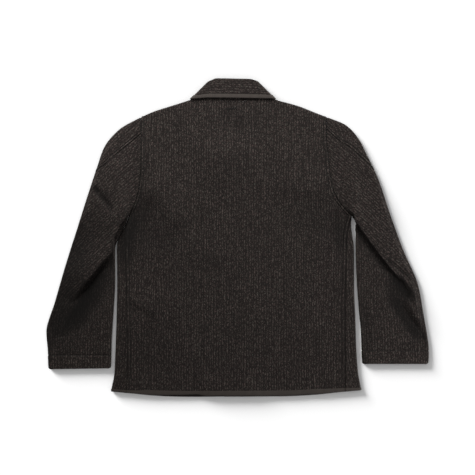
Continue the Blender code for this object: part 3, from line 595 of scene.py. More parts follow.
# %% Heights of the body
# Each pair is where a rise starts and where it is full. The hem's is in shares of the way up the side
TAPE = 0.7
TAPE_STEP = SEAM_GAP + TAPE
SIDE_HEIGHT, HEM_SIDE_RISE = 8.2, 0.8
CROWN_RISE, HEM_CROWN_RISE, NECK_RISE = 2.5, 1.4, 2.9
CROWN_REACH, CROWN_TOP = (105.0, 28.0), (300.0, 225.0)
NECK_REACH, NECK_LOW, NECK_HIGH, NECK_LOW_SHARE = (205.0, 118.0), (100.0, 195.0), (230.0, 305.0), 0.76
SHOULDER_INSET = 4.1
SHOULDER_DROP = (NECK_HALF + 1.0, NECK_HALF + 9.0)
HEM_REACH = (0.09, 0.018)
HEM_TAPE_WIDTH = 9.5
OVERLAP = 22.0
PLACKET_LIFT, PLACKET_REACH = 2.7, (75.0, 24.0)
NECK_LIFT, NECK_LIFT_REACH, NECK_LIFT_START = 4.9, (165.0, 105.0), (150.0, 200.0)
OVERLAP_REACH = (95.0, OVERLAP + 4.0)
# Along the hem: the share of its full width that the tape covers, and how far the back's hem is drawn up
# from the fronts'
HemTape = namedtuple("HemTape", "x reach lift")
HEM_TAPE = table(HemTape, [
    (-290.0, 0.50, 0.0),
    (-245.0, 0.58, 0.0),
    (-200.0, 0.95, 0.0),
    (-130.0, 0.76, 2.3),
    (-95.0, 0.60, 4.0),
    (-70.0, 0.97, 0.2),
    (30.0, 0.92, 0.8),
    (120.0, 0.96, 0.3),
    (158.0, 0.85, 1.5),
    (185.0, 1.00, 0.0),
    (245.0, 0.75, 0.0),
    (285.0, 0.45, 0.0),
])
BODY_ROWS = 120
SHOULDER_ANGLES = np.radians(np.linspace(11.25, 90.0, 8))
WELT, WELT_RISE, WELT_START, WELT_SLOPE = 6.3, 0.7, (0.3, 2.2), 2.0
SEAM_STEPS = np.array([0.0, 0.5, 1.0, 1.6, 2.4, 3.4, 4.4, 5.1, 5.7, WELT, 6.9, 7.5, 8.3, 9.5, 11.0, 13.0])
BACK_COLUMNS = 190


def along_hem(name, x):
    """A column of the hem's table at each x."""
    return np.interp(x, column(HEM_TAPE, "x"), column(HEM_TAPE, name))


def hem_share(v):
    """1 on the hem tape, falling to 0 a little way up the body."""
    return ramp(v, *HEM_REACH)


def side_height(v):
    """Top of the body at its sides, higher over the hem tapes."""
    return SIDE_HEIGHT + HEM_SIDE_RISE * hem_share(v)


def body_folds(x, y):
    """Rise of the body's creases. A trough goes no deeper than the two layers of cloth allow."""
    return np.maximum(fold_shift(BACK_FOLDS, x, y)[..., 2], TWO_LAYERS - SIDE_HEIGHT)


def back_height(x, y, v):
    """Top of the back: level at the sides, higher over the fronts' overlap and round the neck."""
    off = np.abs(x - CENTRE_X)
    crown = CROWN_RISE + HEM_CROWN_RISE * hem_share(v)
    crown = crown * ramp(off, *CROWN_REACH) * ramp(y, *CROWN_TOP)
    neck = NECK_LOW_SHARE * ramp(y, *NECK_LOW) + (1.0 - NECK_LOW_SHARE) * ramp(y, *NECK_HIGH)
    return side_height(v) + crown + NECK_RISE * neck * ramp(off, *NECK_REACH)


def front_lift(x, y, v, over):
    """Height of a front's outer face: over the buttons, the collar and its hem tape, and the other front."""
    off = np.abs(x - CENTRE_X)
    tape = TAPE_STEP * hem_share(v)
    placket = PLACKET_LIFT * ramp(off, *PLACKET_REACH) * (1.0 - hem_share(v))
    neck = NECK_LIFT * ramp(y, *NECK_LIFT_START) * ramp(off, *NECK_LIFT_REACH)
    lift = np.maximum(np.maximum(tape, placket), neck)
    if over:
        step = CLOTH + SEAM_GAP + 2.0 * TAPE_STEP * hem_share(v)
        lift = lift + step * ramp(x - CENTRE_X, *OVERLAP_REACH)
    return lift


def body_rows():
    """Share of the way up the side at each row of points, with rows on the hem and at the tape's end."""
    foot = hem_y(np.array([LEFT_SIDE[0].seam_x]))[0]
    tape_end = HEM_TAPE_WIDTH / (SHOULDER_Y - SHOULDER_INSET - foot)
    return np.concatenate([[0.0], np.linspace(tape_end, 1.0, BODY_ROWS)])[:, None]


def side_levels(side, v):
    """Height up the page of each row where it meets the side seam or the armhole."""
    foot = hem_y(np.array([side[0].seam_x]))[0]
    return blend(foot, SHOULDER_Y - SHOULDER_INSET, v)


def turned_edge(x, middle_y, middle_z, radius, drop, flat_y, flat_z, upward):
    """Rows that turn over the shoulder by a quarter round, or run on flat where drop is 0."""
    rows = []
    for angle in SHOULDER_ANGLES:
        y = blend(flat_y + SHOULDER_INSET * np.sin(angle), middle_y + radius * np.sin(angle), drop)
        z = blend(flat_z, middle_z + upward * radius * np.cos(angle), drop)
        rows.append(np.stack([x, y, z], axis=-1)[None])
    return rows


def seam_relief(distance):
    """Profile across a seam: rounded down at the edge, a welt, and a groove under the stitches."""
    welt = WELT_RISE * ramp(distance, *WELT_START) * ramp(distance, WELT, WELT - WELT_SLOPE)
    return welt - SEAM_DIP * (bell(distance, SEAM_SPREAD) + bell(distance - WELT, GROOVE_SPREAD))


def past_shoulder(rows):
    """Rows of values up the body, with the last one repeated over the shoulder's turn."""
    return np.concatenate([rows, np.repeat(rows[-1:], len(SHOULDER_ANGLES), axis=0)])


# %% Make the back
def slant(x, y):
    """Length along a row that is one millimetre square to a slanting side."""
    return np.hypot(1.0, np.gradient(x[:, 0]) / np.gradient(y[:, 0]))[:, None]


def make_back():
    """The back: points blended from the hem up to the shoulders in each column, then turned over them."""
    v = body_rows()
    left_y, right_y = side_levels(LEFT_SIDE, v), side_levels(RIGHT_SIDE, v)
    left_x = seam_x(LEFT_SIDE, left_y) + HALF_GAP
    right_x = seam_x(RIGHT_SIDE, right_y) - HALF_GAP
    left = left_x + SEAM_STEPS * slant(left_x, left_y)
    right = right_x - SEAM_STEPS[::-1] * slant(right_x, right_y)
    across = np.linspace(0.0, 1.0, BACK_COLUMNS)[None, 1:-1]
    x = np.concatenate([left, blend(left[:, -1:], right[:, :1], across), right], axis=1)
    flat_top = shoulder_y(x[-1:]) - SHOULDER_INSET
    y = blend(hem_y(x[:1]) + along_hem("lift", x[:1]), flat_top, v)
    z = back_height(x, y, v) + body_folds(x, y)
    drop = ramp(np.abs(x[-1] - CENTRE_X), *SHOULDER_DROP)
    radius = 0.5 * (z[-1] - front_lift(x[-1], y[-1], 1.0, False))
    rows = [np.stack([x, y, z], axis=-1)]
    rows += turned_edge(x[-1], y[-1], z[-1] - radius, radius, drop, flat_top[0], z[-1], 1.0)
    surface = np.concatenate(rows)
    least = np.where(drop > 0, z[-1] - radius + HALF_GAP, 0.0)
    surface[-1, :, 2] = np.maximum(surface[-1, :, 2], least)
    normals = grid_normals(surface, UP)
    far = np.full(BACK_COLUMNS - 2, SEAM_STEPS[-1])
    relief = seam_relief(np.concatenate([SEAM_STEPS, far, SEAM_STEPS[::-1]]))[None, :]
    relief = relief * past_shoulder(1.0 - hem_share(v))
    grain = np.stack([surface[..., 0] - CENTRE_X, surface[..., 1]], axis=-1) / RIB_PITCH
    hollow = hollows(BACK_FOLDS, surface[..., 0], surface[..., 1])
    made, outer = cloth_shell("back_panel", surface, normals, relief, CLOTH, grain, wool, hollow)
    sew_in(made, ["back"])
    return made, outer, normals, surface - normals * CLOTH


back, back_outer, back_normals, back_inner = make_back()

# %% [markdown]
# ## The fronts
# The fronts lie face down on the floor and overlap at the middle. At the sides each rolls over and comes up
# on to the back, where the side seam is, so a strip of it shows beside the back. The run across a front is
# measured along the cloth: flat first, then round the roll, then the strip.

# %% Make the fronts
FRONT_NECK_DEPTH = 85.5
FRONT_HEM_DROP, HEM_DROP_REACH = 2.5, (265.0, 160.0)
FRONT_FLAT_COLUMNS, FRONT_EDGE_COLUMNS = 70, 44
EDGE_ZONE, EDGE_ZONE_SHARE = 60.0, 0.3
UNDERARM_BLEND = 38.0


def front_top_y(x, outward):
    """Top edge of a front: the neck curve from centre front to the neck point, then the shoulder."""
    off = np.clip((x - CENTRE_X) * outward, 0.0, NECK_HALF)
    neck = NECK_SIDE_Y - FRONT_NECK_DEPTH * np.sqrt(1.0 - (off / NECK_HALF) ** 2)
    return np.where((x - CENTRE_X) * outward > NECK_HALF, shoulder_y(x), neck)


def make_front(name, side, outward, over):
    """A front: runs along the cloth from its overlap round the rolled side to the seam, row by row."""
    v = body_rows()
    level = side_levels(side, v)
    edge = edge_x(side, level) * outward
    seam = seam_x(side, level) * outward + HALF_GAP
    start = CENTRE_X * outward - OVERLAP
    lift_at_edge = TAPE_STEP * hem_share(v)
    radius = 0.5 * (side_height(v) - lift_at_edge)
    strip = np.maximum(edge - seam, 0.0)
    round_part = radius * np.arccos(np.clip(1.0 - strip / radius, -1.0, 1.0))
    past_edge = np.where(strip < radius, round_part, QUARTER_TURN * radius + strip - radius)
    above = ramp(level, UNDERARM_Y, UNDERARM_Y + UNDERARM_BLEND)
    past_edge = blend(past_edge, -QUARTER_TURN * radius, above)
    flat = edge - blend(radius, HALF_GAP, above) - start
    total = flat + QUARTER_TURN * radius + past_edge
    zone = np.minimum(EDGE_ZONE, total * EDGE_ZONE_SHARE)
    flat_run = (total - zone) * np.linspace(0.0, 1.0, FRONT_FLAT_COLUMNS)[None, :-1]
    near_seam = SEAM_STEPS[-1]
    edge_run = total - near_seam - (zone - near_seam) * np.linspace(1.0, 0.0, FRONT_EDGE_COLUMNS)[None, :-1]
    run = np.concatenate([flat_run, edge_run, total - SEAM_STEPS[::-1]], axis=1)
    angle = np.clip((run - flat) / radius, 0.0, np.pi)
    on_strip = np.maximum(run - flat - np.pi * radius, 0.0)
    reach = np.minimum(run, flat) + np.where(run > flat, radius * np.sin(angle), 0.0) - on_strip
    x = (start + reach) * outward
    foot = hem_y(x[:1]) - FRONT_HEM_DROP * ramp(np.abs(x[:1]), *HEM_DROP_REACH)
    y = blend(foot, front_top_y(x[-1:], outward) - SHOULDER_INSET, v)
    lift = front_lift(x, y, v, over)
    z = np.where(run > flat, lift_at_edge + radius - radius * np.cos(angle), lift)
    z = z + body_folds(x, y) * ramp(angle, QUARTER_TURN, np.pi)
    drop = ramp(np.abs(x[-1] - CENTRE_X), *SHOULDER_DROP)
    back_z = back_height(x[-1], y[-1], 1.0)
    turn_up = 0.5 * (back_z - lift[-1])
    rows = [np.stack([x, y, z], axis=-1)]
    rows += turned_edge(x[-1], y[-1], lift[-1] + turn_up, turn_up, drop, y[-1], z[-1], -1.0)
    surface = np.concatenate(rows)
    most = np.where(drop > 0, lift[-1] + turn_up - HALF_GAP, back_z)
    surface[-1, :, 2] = np.minimum(surface[-1, :, 2], most)
    normals = grid_normals(surface, -UP)
    run = past_shoulder(run)
    relief = -SEAM_DIP * bell(past_shoulder(total) - run, SEAM_SPREAD) * past_shoulder(1.0 - above)
    grain = np.stack([run, surface[..., 1]], axis=-1) / RIB_PITCH
    hollow = hollows(BACK_FOLDS, surface[..., 0], surface[..., 1]) * (surface[..., 2] > CLOTH)
    made, outer = cloth_shell(f"front_panel_{name}", surface, normals, relief, CLOTH, grain, wool, hollow)
    sew_in(made, [f"front_{name}"])
    return made, outer, surface - normals * CLOTH


front_left, left_outer, left_inner = make_front("left", LEFT_SIDE, -1.0, False)
front_right, right_outer, right_inner = make_front("right", RIGHT_SIDE, 1.0, True)

# %% [markdown]
# ## The sleeves
# A sleeve is a flattened tube of two pieces: the under piece faces up here, and the top piece lies on the
# floor and shows over the shoulder, with the bold outer seam between them. Sections run from the armhole to
# the cuff, and each point is given by its section and by how far round the tube it lies. The arms were bent
# when the jacket was laid down, so the upper sleeve doubles over the forearm in one long leaning fold. The
# cuffs' corners are rounded.

# %% Tables of the sleeves
SleeveSection = namedtuple("SleeveSection", "outer_x outer_y inner_x inner_y outer_height inner_height")
LEFT_SLEEVE = table(SleeveSection, [
    (-220.0, 274.7, -248.1, 46.7, 8.2, 8.2),
    (-268.0, 247.8, -259.9, 21.7, 8.2, 13.0),
    (-304.0, 206.3, -271.7, -4.6, 8.2, 12.5),
    (-321.2, 158.5, -278.8, -24.0, 8.2, 10.5),
    (-341.0, 99.2, -279.0, -58.0, 8.2, 8.2),
    (-367.0, 17.1, -278.9, -99.2, 8.2, 8.2),
    (-393.3, -66.0, -281.1, -147.0, 8.2, 8.2),
    (-416.1, -144.8, -284.3, -195.0, 8.2, 8.2),
    (-436.2, -214.0, -286.8, -236.0, 8.2, 8.2),
    (-433.2, -256.5, -287.7, -266.8, 8.2, 8.2),
    (-431.2, -300.3, -289.5, -298.3, 8.6, 8.6),
])
RIGHT_SLEEVE = table(SleeveSection, [
    (204.0, 274.7, 260.5, 46.7, 8.2, 8.2),
    (247.4, 256.3, 266.0, 41.0, 8.2, 12.0),
    (276.0, 225.7, 269.8, 26.2, 8.2, 14.5),
    (295.3, 188.0, 269.5, 3.4, 8.2, 9.5),
    (320.3, 135.7, 269.6, -30.8, 8.2, 8.5),
    (346.8, 58.0, 270.8, -74.0, 8.2, 8.2),
    (377.3, -26.2, 273.4, -122.0, 8.2, 8.2),
    (412.6, -110.0, 277.0, -170.0, 8.2, 8.2),
    (424.0, -172.0, 281.4, -215.5, 8.2, 8.2),
    (436.4, -254.2, 283.0, -256.5, 8.2, 8.2),
    (435.0, -288.4, 285.0, -288.4, 8.6, 8.6),
])
SeamPoint = namedtuple("SeamPoint", "station across")
LEFT_SEAM = table(SeamPoint, [
    (0.0, 0.165),
    (1.0, 0.215),
    (2.0, 0.175),
    (3.0, 0.03),
    (3.5, -0.05),
    (5.0, -0.20),
    (10.0, -0.20),
])
RIGHT_SEAM = table(SeamPoint, [
    (0.0, 0.12),
    (1.0, 0.215),
    (2.0, 0.184),
    (3.0, 0.083),
    (3.7, 0.0),
    (4.4, -0.10),
    (5.5, -0.20),
    (10.0, -0.20),
])
LEFT_SLEEVE_FOLDS = table(Fold, [
    (-238.5, 22.0, -316.0, -61.5, -400.0, -168.0, 13.0, 13.0, 55.0, 1.5, 0.6, 0.45),
    (-271.0, -16.0, -335.0, -114.5, -411.0, -229.0, -10.5, 30.0, 7.0, 0.0, 0.5, 0.3),
    (-326.0, -104.0, -374.0, -162.0, -434.0, -226.0, -2.5, 20.0, 24.0, 0.0, 0.4, 0.2),
    (-225.0, 72.0, -295.0, 52.0, -375.0, 30.0, 11.0, 75.0, 90.0, 0.0, 0.25, 0.6),
    (-230.0, 172.0, -272.0, 164.0, -330.0, 146.0, 5.0, 60.0, 55.0, 0.0, 0.1, 0.5),
    (-334.0, 121.0, -304.4, 85.5, -276.0, 48.0, -4.5, 8.0, 8.0, 0.0, 0.25, 0.4),
    (-338.0, 80.0, -372.0, -50.0, -446.0, -300.0, -4.5, 36.0, 40.0, 0.0, 0.25, 0.3),
])
RIGHT_SLEEVE_FOLDS = table(Fold, [
    (243.0, 86.0, 318.0, -25.5, 396.0, -118.0, 9.0, 55.0, 9.0, -5.0, 0.25, 0.25),
    (246.0, 55.0, 322.0, -51.0, 398.0, -142.0, -4.5, 8.0, 11.0, 0.0, 0.3, 0.2),
    (350.0, -80.0, 383.0, -113.0, 406.0, -156.0, -7.5, 8.0, 27.0, 0.0, 0.4, 0.3),
    (372.0, -88.0, 399.0, -131.0, 414.0, -172.0, 8.0, 22.0, 8.0, -3.0, 0.4, 0.3),
    (338.0, -106.0, 375.0, -168.0, 434.0, -246.0, -7.5, 11.0, 15.0, 0.0, 0.35, 0.25),
    (366.0, -118.0, 392.0, -154.0, 430.0, -214.0, 7.0, 12.0, 10.0, 0.0, 0.4, 0.3),
    (330.0, -42.0, 372.0, -74.0, 403.0, -108.0, -2.4, 4.0, 4.0, 0.0, 0.3, 0.3),
    (281.0, -130.0, 286.0, -210.0, 290.0, -310.0, -2.6, 14.0, 14.0, 0.0, 0.3, 0.1),
    (225.0, 95.0, 295.0, 85.0, 372.0, 70.0, 5.0, 85.0, 95.0, 0.0, 0.2, 0.25),
])
# rib_angles: slants of the ribs above and below the first fold, in degrees
# cuff_line: stations of the cuff's stitched line at the outer and the inner edge
Sleeve = namedtuple("Sleeve", "name sections side seam folds rib_angles cuff_line")
LEFT = Sleeve("left", LEFT_SLEEVE, LEFT_SIDE, LEFT_SEAM, LEFT_SLEEVE_FOLDS, (42.0, 92.0), (9.28, 9.07))
RIGHT = Sleeve("right", RIGHT_SLEEVE, RIGHT_SIDE, RIGHT_SEAM, RIGHT_SLEEVE_FOLDS, (138.0, 90.0), (9.11, 9.05))
print("Creases on the sleeves:", len(LEFT.folds), "and", len(RIGHT.folds))

# %% Sleeve surface
# CUFF_STATION: length of sleeve between two stations at the cuff
CUFF_WALL, CUFF_STATION, CUFF_ROUND = 3.6, 32.0, 4.5
# Pairs again, in stations, but from the edge in shares of the way across the top
CUFF_HEM = (9.1, 9.3)
ARMHOLE_BOW = (1.5, 0.0)
FOLD_FROM_ARMHOLE, FOLD_FROM_CUFF, FOLD_FROM_EDGE = (0.2, 1.2), (9.6, 8.8), (0.0, 0.06)
ARMHOLE_GAP = 0.4
RIB_BEND, UNDER_LIP = 30.0, 4.0
SLEEVE_ROWS, UNDER_COLUMNS, TOP_COLUMNS = 270, 120, 100
INNER_SEAM_SHARE = 10.0 / 12.0
SLEEVE_SEAM_SHARE, CUFF_DIP, CUFF_RISE, CUFF_RISE_REACH = 0.6, 0.9, 0.5, (-1.0, 1.5)


def sleeve_section(sections, station):
    """A sleeve's columns at any station, rounded in at the cuff, with its width and its edges' radii."""
    count = np.arange(len(sections), dtype=float)
    place = {name: smooth(count, column(sections, name), station) for name in SleeveSection._fields}
    short_of_round = np.clip(1.0 - (count[-1] - station) * CUFF_STATION / CUFF_ROUND, 0.0, 1.0)
    inset = CUFF_ROUND * (1.0 - np.sqrt(1.0 - short_of_round**2)) * np.sign(sections[0].outer_x)
    place["outer_x"] = place["outer_x"] - inset
    place["inner_x"] = place["inner_x"] + inset
    place["reach_x"] = place["inner_x"] - place["outer_x"]
    place["reach_y"] = place["inner_y"] - place["outer_y"]
    place["width"] = np.hypot(place["reach_x"], place["reach_y"])
    place["outer_r"] = 0.5 * place["outer_height"]
    place["inner_r"] = 0.5 * place["inner_height"]
    place["top_run"] = place["width"] - place["outer_r"] - place["inner_r"]
    place["quarter"] = QUARTER_TURN * place["outer_r"]
    return place


def sleeve_surface(sleeve, station, along):
    """Outer points of the flattened tube, and their places on the cloth laid out flat.

    From the outermost point, plus goes up over the rolled edge and across the top to the inner edge and
    under it; minus goes down and across the floor side. The top lies on at least two layers of cloth.
    """
    place = sleeve_section(sleeve.sections, station)
    outer_r, inner_r, top_run, quarter = (place[n] for n in ("outer_r", "inner_r", "top_run", "quarter"))
    past = along - quarter
    outer_angle = np.clip(along / outer_r, -QUARTER_TURN, QUARTER_TURN)
    inner_angle = np.clip((past - top_run) / inner_r, 0.0, np.pi)
    on_top = np.clip(past, 0.0, top_run)
    across = outer_r - outer_r * np.cos(outer_angle) + on_top + np.maximum(-along - quarter, 0.0)
    across = across + inner_r * np.sin(inner_angle) - np.maximum(past - top_run - np.pi * inner_r, 0.0)
    share = across / place["width"]
    x = place["outer_x"] + place["reach_x"] * share
    y = place["outer_y"] + place["reach_y"] * share
    first = sleeve.sections[0]
    line_x = blend(first.outer_x, first.inner_x, share)
    line_y = blend(first.outer_y, first.inner_y, share)
    bow = edge_x(sleeve.side, line_y) - line_x + np.sign(first.outer_x) * ARMHOLE_GAP
    x = x + bow * ramp(station, *ARMHOLE_BOW)
    top_share = on_top / top_run
    fade = ramp(top_share, *FOLD_FROM_EDGE) * ramp(1.0 - top_share, *FOLD_FROM_EDGE)
    fade = fade * ramp(station, *FOLD_FROM_ARMHOLE) * ramp(station, *FOLD_FROM_CUFF) * (along > 0)
    top_z = blend(place["outer_height"], place["inner_height"], top_share)
    z = np.where(along > 0, top_z, 0.0)
    z = np.where(np.abs(along) <= quarter, outer_r + outer_r * np.sin(outer_angle), z)
    z = np.where(past > top_run, inner_r + inner_r * np.cos(inner_angle), z)
    points = np.stack([x, y, z], axis=-1) + fold_shift(sleeve.folds, x, y) * fade[..., None]
    on_layers = (past > 0) & (past < top_run)
    points[..., 2] = np.where(on_layers, np.maximum(points[..., 2], TWO_LAYERS), points[..., 2])
    over = (past + outer_r - across) / place["width"]
    flat_x = points[..., 0] + place["reach_x"] * over
    flat_y = points[..., 1] + place["reach_y"] * over
    return points, flat_x, flat_y


def sleeve_grain(sleeve, x, y):
    """Rib counts at one slant above the main fold and at another below it.

    They change at once under the fold's lip. Past its end the ribs bend, where the two counts are equal.
    """
    fold = sleeve.folds[0]
    share, side, _ = fold_place(fold, x, y)
    way = np.sign(fold.lean)
    counts = []
    for angle in np.radians(sleeve.rib_angles):
        across = ((x - fold.end_x) * np.sin(angle) - (y - fold.end_y) * np.cos(angle)) * way
        along = (x - fold.end_x) * np.cos(angle) + (y - fold.end_y) * np.sin(angle)
        counts.append(np.stack([across, along], axis=-1))
    apart = (counts[0] - counts[1])[..., :1]
    spread = np.sqrt(apart**2 + RIB_BEND**2)
    bent = blend(counts[0], counts[1], 0.5 + 0.5 * apart / spread)
    bent[..., :1] = 0.5 * (counts[0] + counts[1])[..., :1] - 0.5 * spread
    under = ((side * way > UNDER_LIP) & (share < 1.0))[..., None]
    return np.where(under, counts[1], bent) / RIB_PITCH


def outer_seam_run(place, seam, station):
    """Where the outer seam lies along the way round: over the shoulder on top, then on the floor side."""
    outer_r = place["outer_r"]
    across = curve(seam, "station", "across", station)
    distance = np.abs(across) * place["width"]
    on_round = outer_r * np.arccos(np.clip(1.0 - distance / outer_r, -1.0, 1.0))
    past_round = place["quarter"] + distance - outer_r
    return np.sign(across) * np.where(distance < outer_r, on_round, past_round)


def cuff_relief(station, share, line):
    """A turned-up cuff: thicker below the stitched groove."""
    past = (station - blend(*line, share)) * CUFF_STATION
    return CUFF_RISE * ramp(past, *CUFF_RISE_REACH) - CUFF_DIP * bell(past, GROOVE_SPREAD)


# %% Make the sleeves
def make_sleeve(sleeve):
    """The two pieces of a sleeve: grids of points by station and by the run round the tube, seam to seam."""
    station = np.linspace(0.0, len(sleeve.sections) - 1.0, SLEEVE_ROWS)[:, None]
    place = sleeve_section(sleeve.sections, station)
    whole = 2.0 * place["top_run"] + np.pi * (place["outer_r"] + place["inner_r"])
    outer_seam = outer_seam_run(place, sleeve.seam, station)
    inner_seam = whole - place["quarter"] - INNER_SEAM_SHARE * (place["width"] - place["outer_r"])
    near = SEAM_STEPS[-1]
    low, high = outer_seam + HALF_GAP, inner_seam - HALF_GAP
    across = np.linspace(0.0, 1.0, UNDER_COLUMNS)[None, 1:]
    under_run = np.concatenate([low + SEAM_STEPS, blend(low + near, high, across)], axis=1)
    low, high = inner_seam + HALF_GAP - whole, outer_seam - HALF_GAP
    across = np.linspace(0.0, 1.0, TOP_COLUMNS)[None, :-1]
    top_run = np.concatenate([blend(low, high - near, across), high - SEAM_STEPS[::-1]], axis=1)
    pieces = {}
    for part, run in (("under", under_run), ("top", top_run)):
        points, flat_x, flat_y = sleeve_surface(sleeve, station, run)
        inside = points.mean(axis=1, keepdims=True) * (1.0 - UP) + 0.5 * SIDE_HEIGHT * UP
        normals = grid_normals(points, points - inside)
        share = np.clip((run - place["quarter"]) / place["width"], 0.0, 1.0)
        from_armhole = np.linalg.norm(points - points[:1], axis=-1)
        relief = cuff_relief(station, share, sleeve.cuff_line) - SEAM_DIP * bell(from_armhole, SEAM_SPREAD)
        if part == "top":
            relief = relief + SLEEVE_SEAM_SHARE * seam_relief(outer_seam - HALF_GAP - run)
        else:
            edge = bell(run - outer_seam - HALF_GAP, SEAM_SPREAD)
            relief = relief - SLEEVE_SEAM_SHARE * SEAM_DIP * edge
        wall = blend(CLOTH, CUFF_WALL, ramp(station, *CUFF_HEM))
        grain = sleeve_grain(sleeve, flat_x, flat_y)
        hollow = hollows(sleeve.folds, points[..., 0], points[..., 1]) * (run > 0)
        node = f"sleeve_{sleeve.name}_{part}"
        made, outer = cloth_shell(f"{node}_cloth", points, normals, relief, wall, grain, wool, hollow)
        sew_in(made, [node])
        pieces[part] = (made, outer, normals)
    return pieces


left_sleeve = make_sleeve(LEFT)
right_sleeve = make_sleeve(RIGHT)

# %% [markdown]
# ## The collar
# The collar folds over on itself: a stand rises from the neck seam, and the fall turns down over it from the
# roll line. Laid flat, both go round to the front at two side folds. Each row of the grid runs along the
# collar, from the left front point round the back to the right one, and rows go from the roll to the edge.

# %% Tables of the collar
CollarCorner = namedtuple("CollarCorner", "roll_x roll_y edge_x edge_y")
LEFT_POINT = CollarCorner(-11.0, 243.0, -66.0, 208.0)
LEFT_FOLD = CollarCorner(-67.5, 355.8, -107.2, 316.6)
BACK_LEFT = CollarCorner(-46.0, 362.8, -62.0, 319.7)
BACK_CENTRE = CollarCorner(-9.0, 362.2, -9.0, 319.2)
BACK_RIGHT = CollarCorner(29.0, 361.2, 44.0, 318.4)
RIGHT_FOLD = CollarCorner(46.5, 356.6, 86.0, 317.4)
RIGHT_POINT = CollarCorner(-6.0, 243.0, 48.0, 208.0)
COLLAR_MIDDLE, FALL_RADIUS, STAND_RADIUS = 8.0, 7.0, 3.1
COLLAR_CURL, COLLAR_CURL_SHARE, COLLAR_CURL_ROWS = 3.0, 0.067, 9
COLLAR_TAPE_WIDTH = 7.5
STAND_TOP_SHARE, STAND_SEAM_GAP, STAND_FRONT_GAP = 0.13, 0.5, 2.0
NECK_SHARES = (-1.0, -0.55, 0.0, 0.55, 1.0)
LEAF_STEPS, COLLAR_BACK_STEPS, COLLAR_FOLD_STEPS = 40, 90, 16
FALL_ROWS, STAND_ROWS = 30, 16


def corner_points(corners):
    """Plan points of the roll line and of the edge at the given corners of the fall."""
    rolls = np.array([(corner.roll_x, corner.roll_y) for corner in corners])
    edges = np.array([(corner.edge_x, corner.edge_y) for corner in corners])
    return rolls, edges


POINT_ROLLS, POINT_EDGES = corner_points((LEFT_POINT, RIGHT_POINT))


def collar_back(rolls, edges, share, radius):
    """Points across the back of the collar, and each side fold's middle and the way it faces."""
    corners = blend(rolls, edges, share)
    faces = unit(np.array([corners[0] - corners[1], corners[4] - corners[3]]))
    middles = corners[[0, 4]] - faces * radius
    corners = np.concatenate([middles[:1], corners[1:4], middles[1:]])
    knots = np.arange(len(corners), dtype=float)
    at = np.linspace(0.0, knots[-1], COLLAR_BACK_STEPS + 1)
    across = np.column_stack([smooth(knots, corners[:, 0], at), smooth(knots, corners[:, 1], at)])
    return across, middles, faces


def fall_leaf(side, share, folds):
    """A front leaf of the fall, straight from its front end to the side fold at the same share."""
    front = blend(POINT_ROLLS[side], POINT_EDGES[side], share)
    return blend(front, folds[1], np.linspace(0.0, 1.0, LEAF_STEPS + 1)[:, None])


def stand_leaf(side, share, folds):
    """A front of the stand: straight along the roll line, and along the neck curve at its seam.

    folds are the places of the side fold on the roll line and at the share.
    """
    outward = (-1.0, 1.0)[side]
    steps = np.linspace(0.0, 1.0, LEAF_STEPS + 1)
    roll_end = blend(POINT_ROLLS[side], POINT_EDGES[side], STAND_TOP_SHARE)
    roll = blend(roll_end, folds[0], steps[:, None])
    angle = QUARTER_TURN * steps
    half = NECK_HALF - STAND_RADIUS * steps**2
    neck_x = CENTRE_X + outward * np.maximum(half * np.sin(angle), STAND_FRONT_GAP)
    neck_y = NECK_SIDE_Y + STAND_SEAM_GAP - FRONT_NECK_DEPTH * np.cos(angle)
    points = blend(roll, np.column_stack([neck_x, neck_y]), share)
    points[-1] = folds[1]
    return points


def collar_points(rolls, edges, leaf, shares, radii):
    """Grid of a collar piece, a row for each share from the roll line to the edge."""
    rows = []
    angles = np.linspace(-0.5, 0.5, COLLAR_FOLD_STEPS + 1)[1:-1] * np.pi
    roll_folds = collar_back(rolls, edges, 0.0, radii[-1])[1]
    for share, radius in zip(shares, radii):
        across, middles, faces = collar_back(rolls, edges, share, radii[-1])
        halves = []
        for side in (0, 1):
            flat = leaf(side, share, (roll_folds[side], middles[side]))
            low = np.column_stack([flat, np.full(len(flat), COLLAR_MIDDLE - radius)])
            fold = middles[side] + faces[side] * radius * np.cos(angles)[:, None]
            fold = np.column_stack([fold, COLLAR_MIDDLE + radius * np.sin(angles)])
            halves.append(np.concatenate([low, fold]))
        top = np.column_stack([across, np.full(len(across), COLLAR_MIDDLE + radius)])
        rows.append(np.concatenate([halves[0], top, halves[1][::-1]]))
    return np.array(rows)


# %% Make the collar
def collar_shell(name, node, surface, depth):
    """A collar piece. Its ribs run along it, so the count goes from the roll line to the edge."""
    middle = surface.shape[1] // 2
    up = np.sign(surface[..., 2:] - COLLAR_MIDDLE) * UP
    normals = grid_normals(surface, up)
    steps = np.linalg.norm(np.diff(surface, axis=1), axis=-1)
    along = np.concatenate([np.zeros((len(surface), 1)), np.cumsum(steps, axis=1)], axis=1)
    along = along - along[:, middle:middle + 1]
    down = np.linspace(0.0, depth, len(surface))[:, None] + np.zeros_like(along)
    grain = np.stack([down, along], axis=-1) / RIB_PITCH
    made, outer = cloth_shell(name, surface, normals, 0.0, CLOTH, grain, wool)
    sew_in(made, [node])
    return made, outer, surface - normals * CLOTH


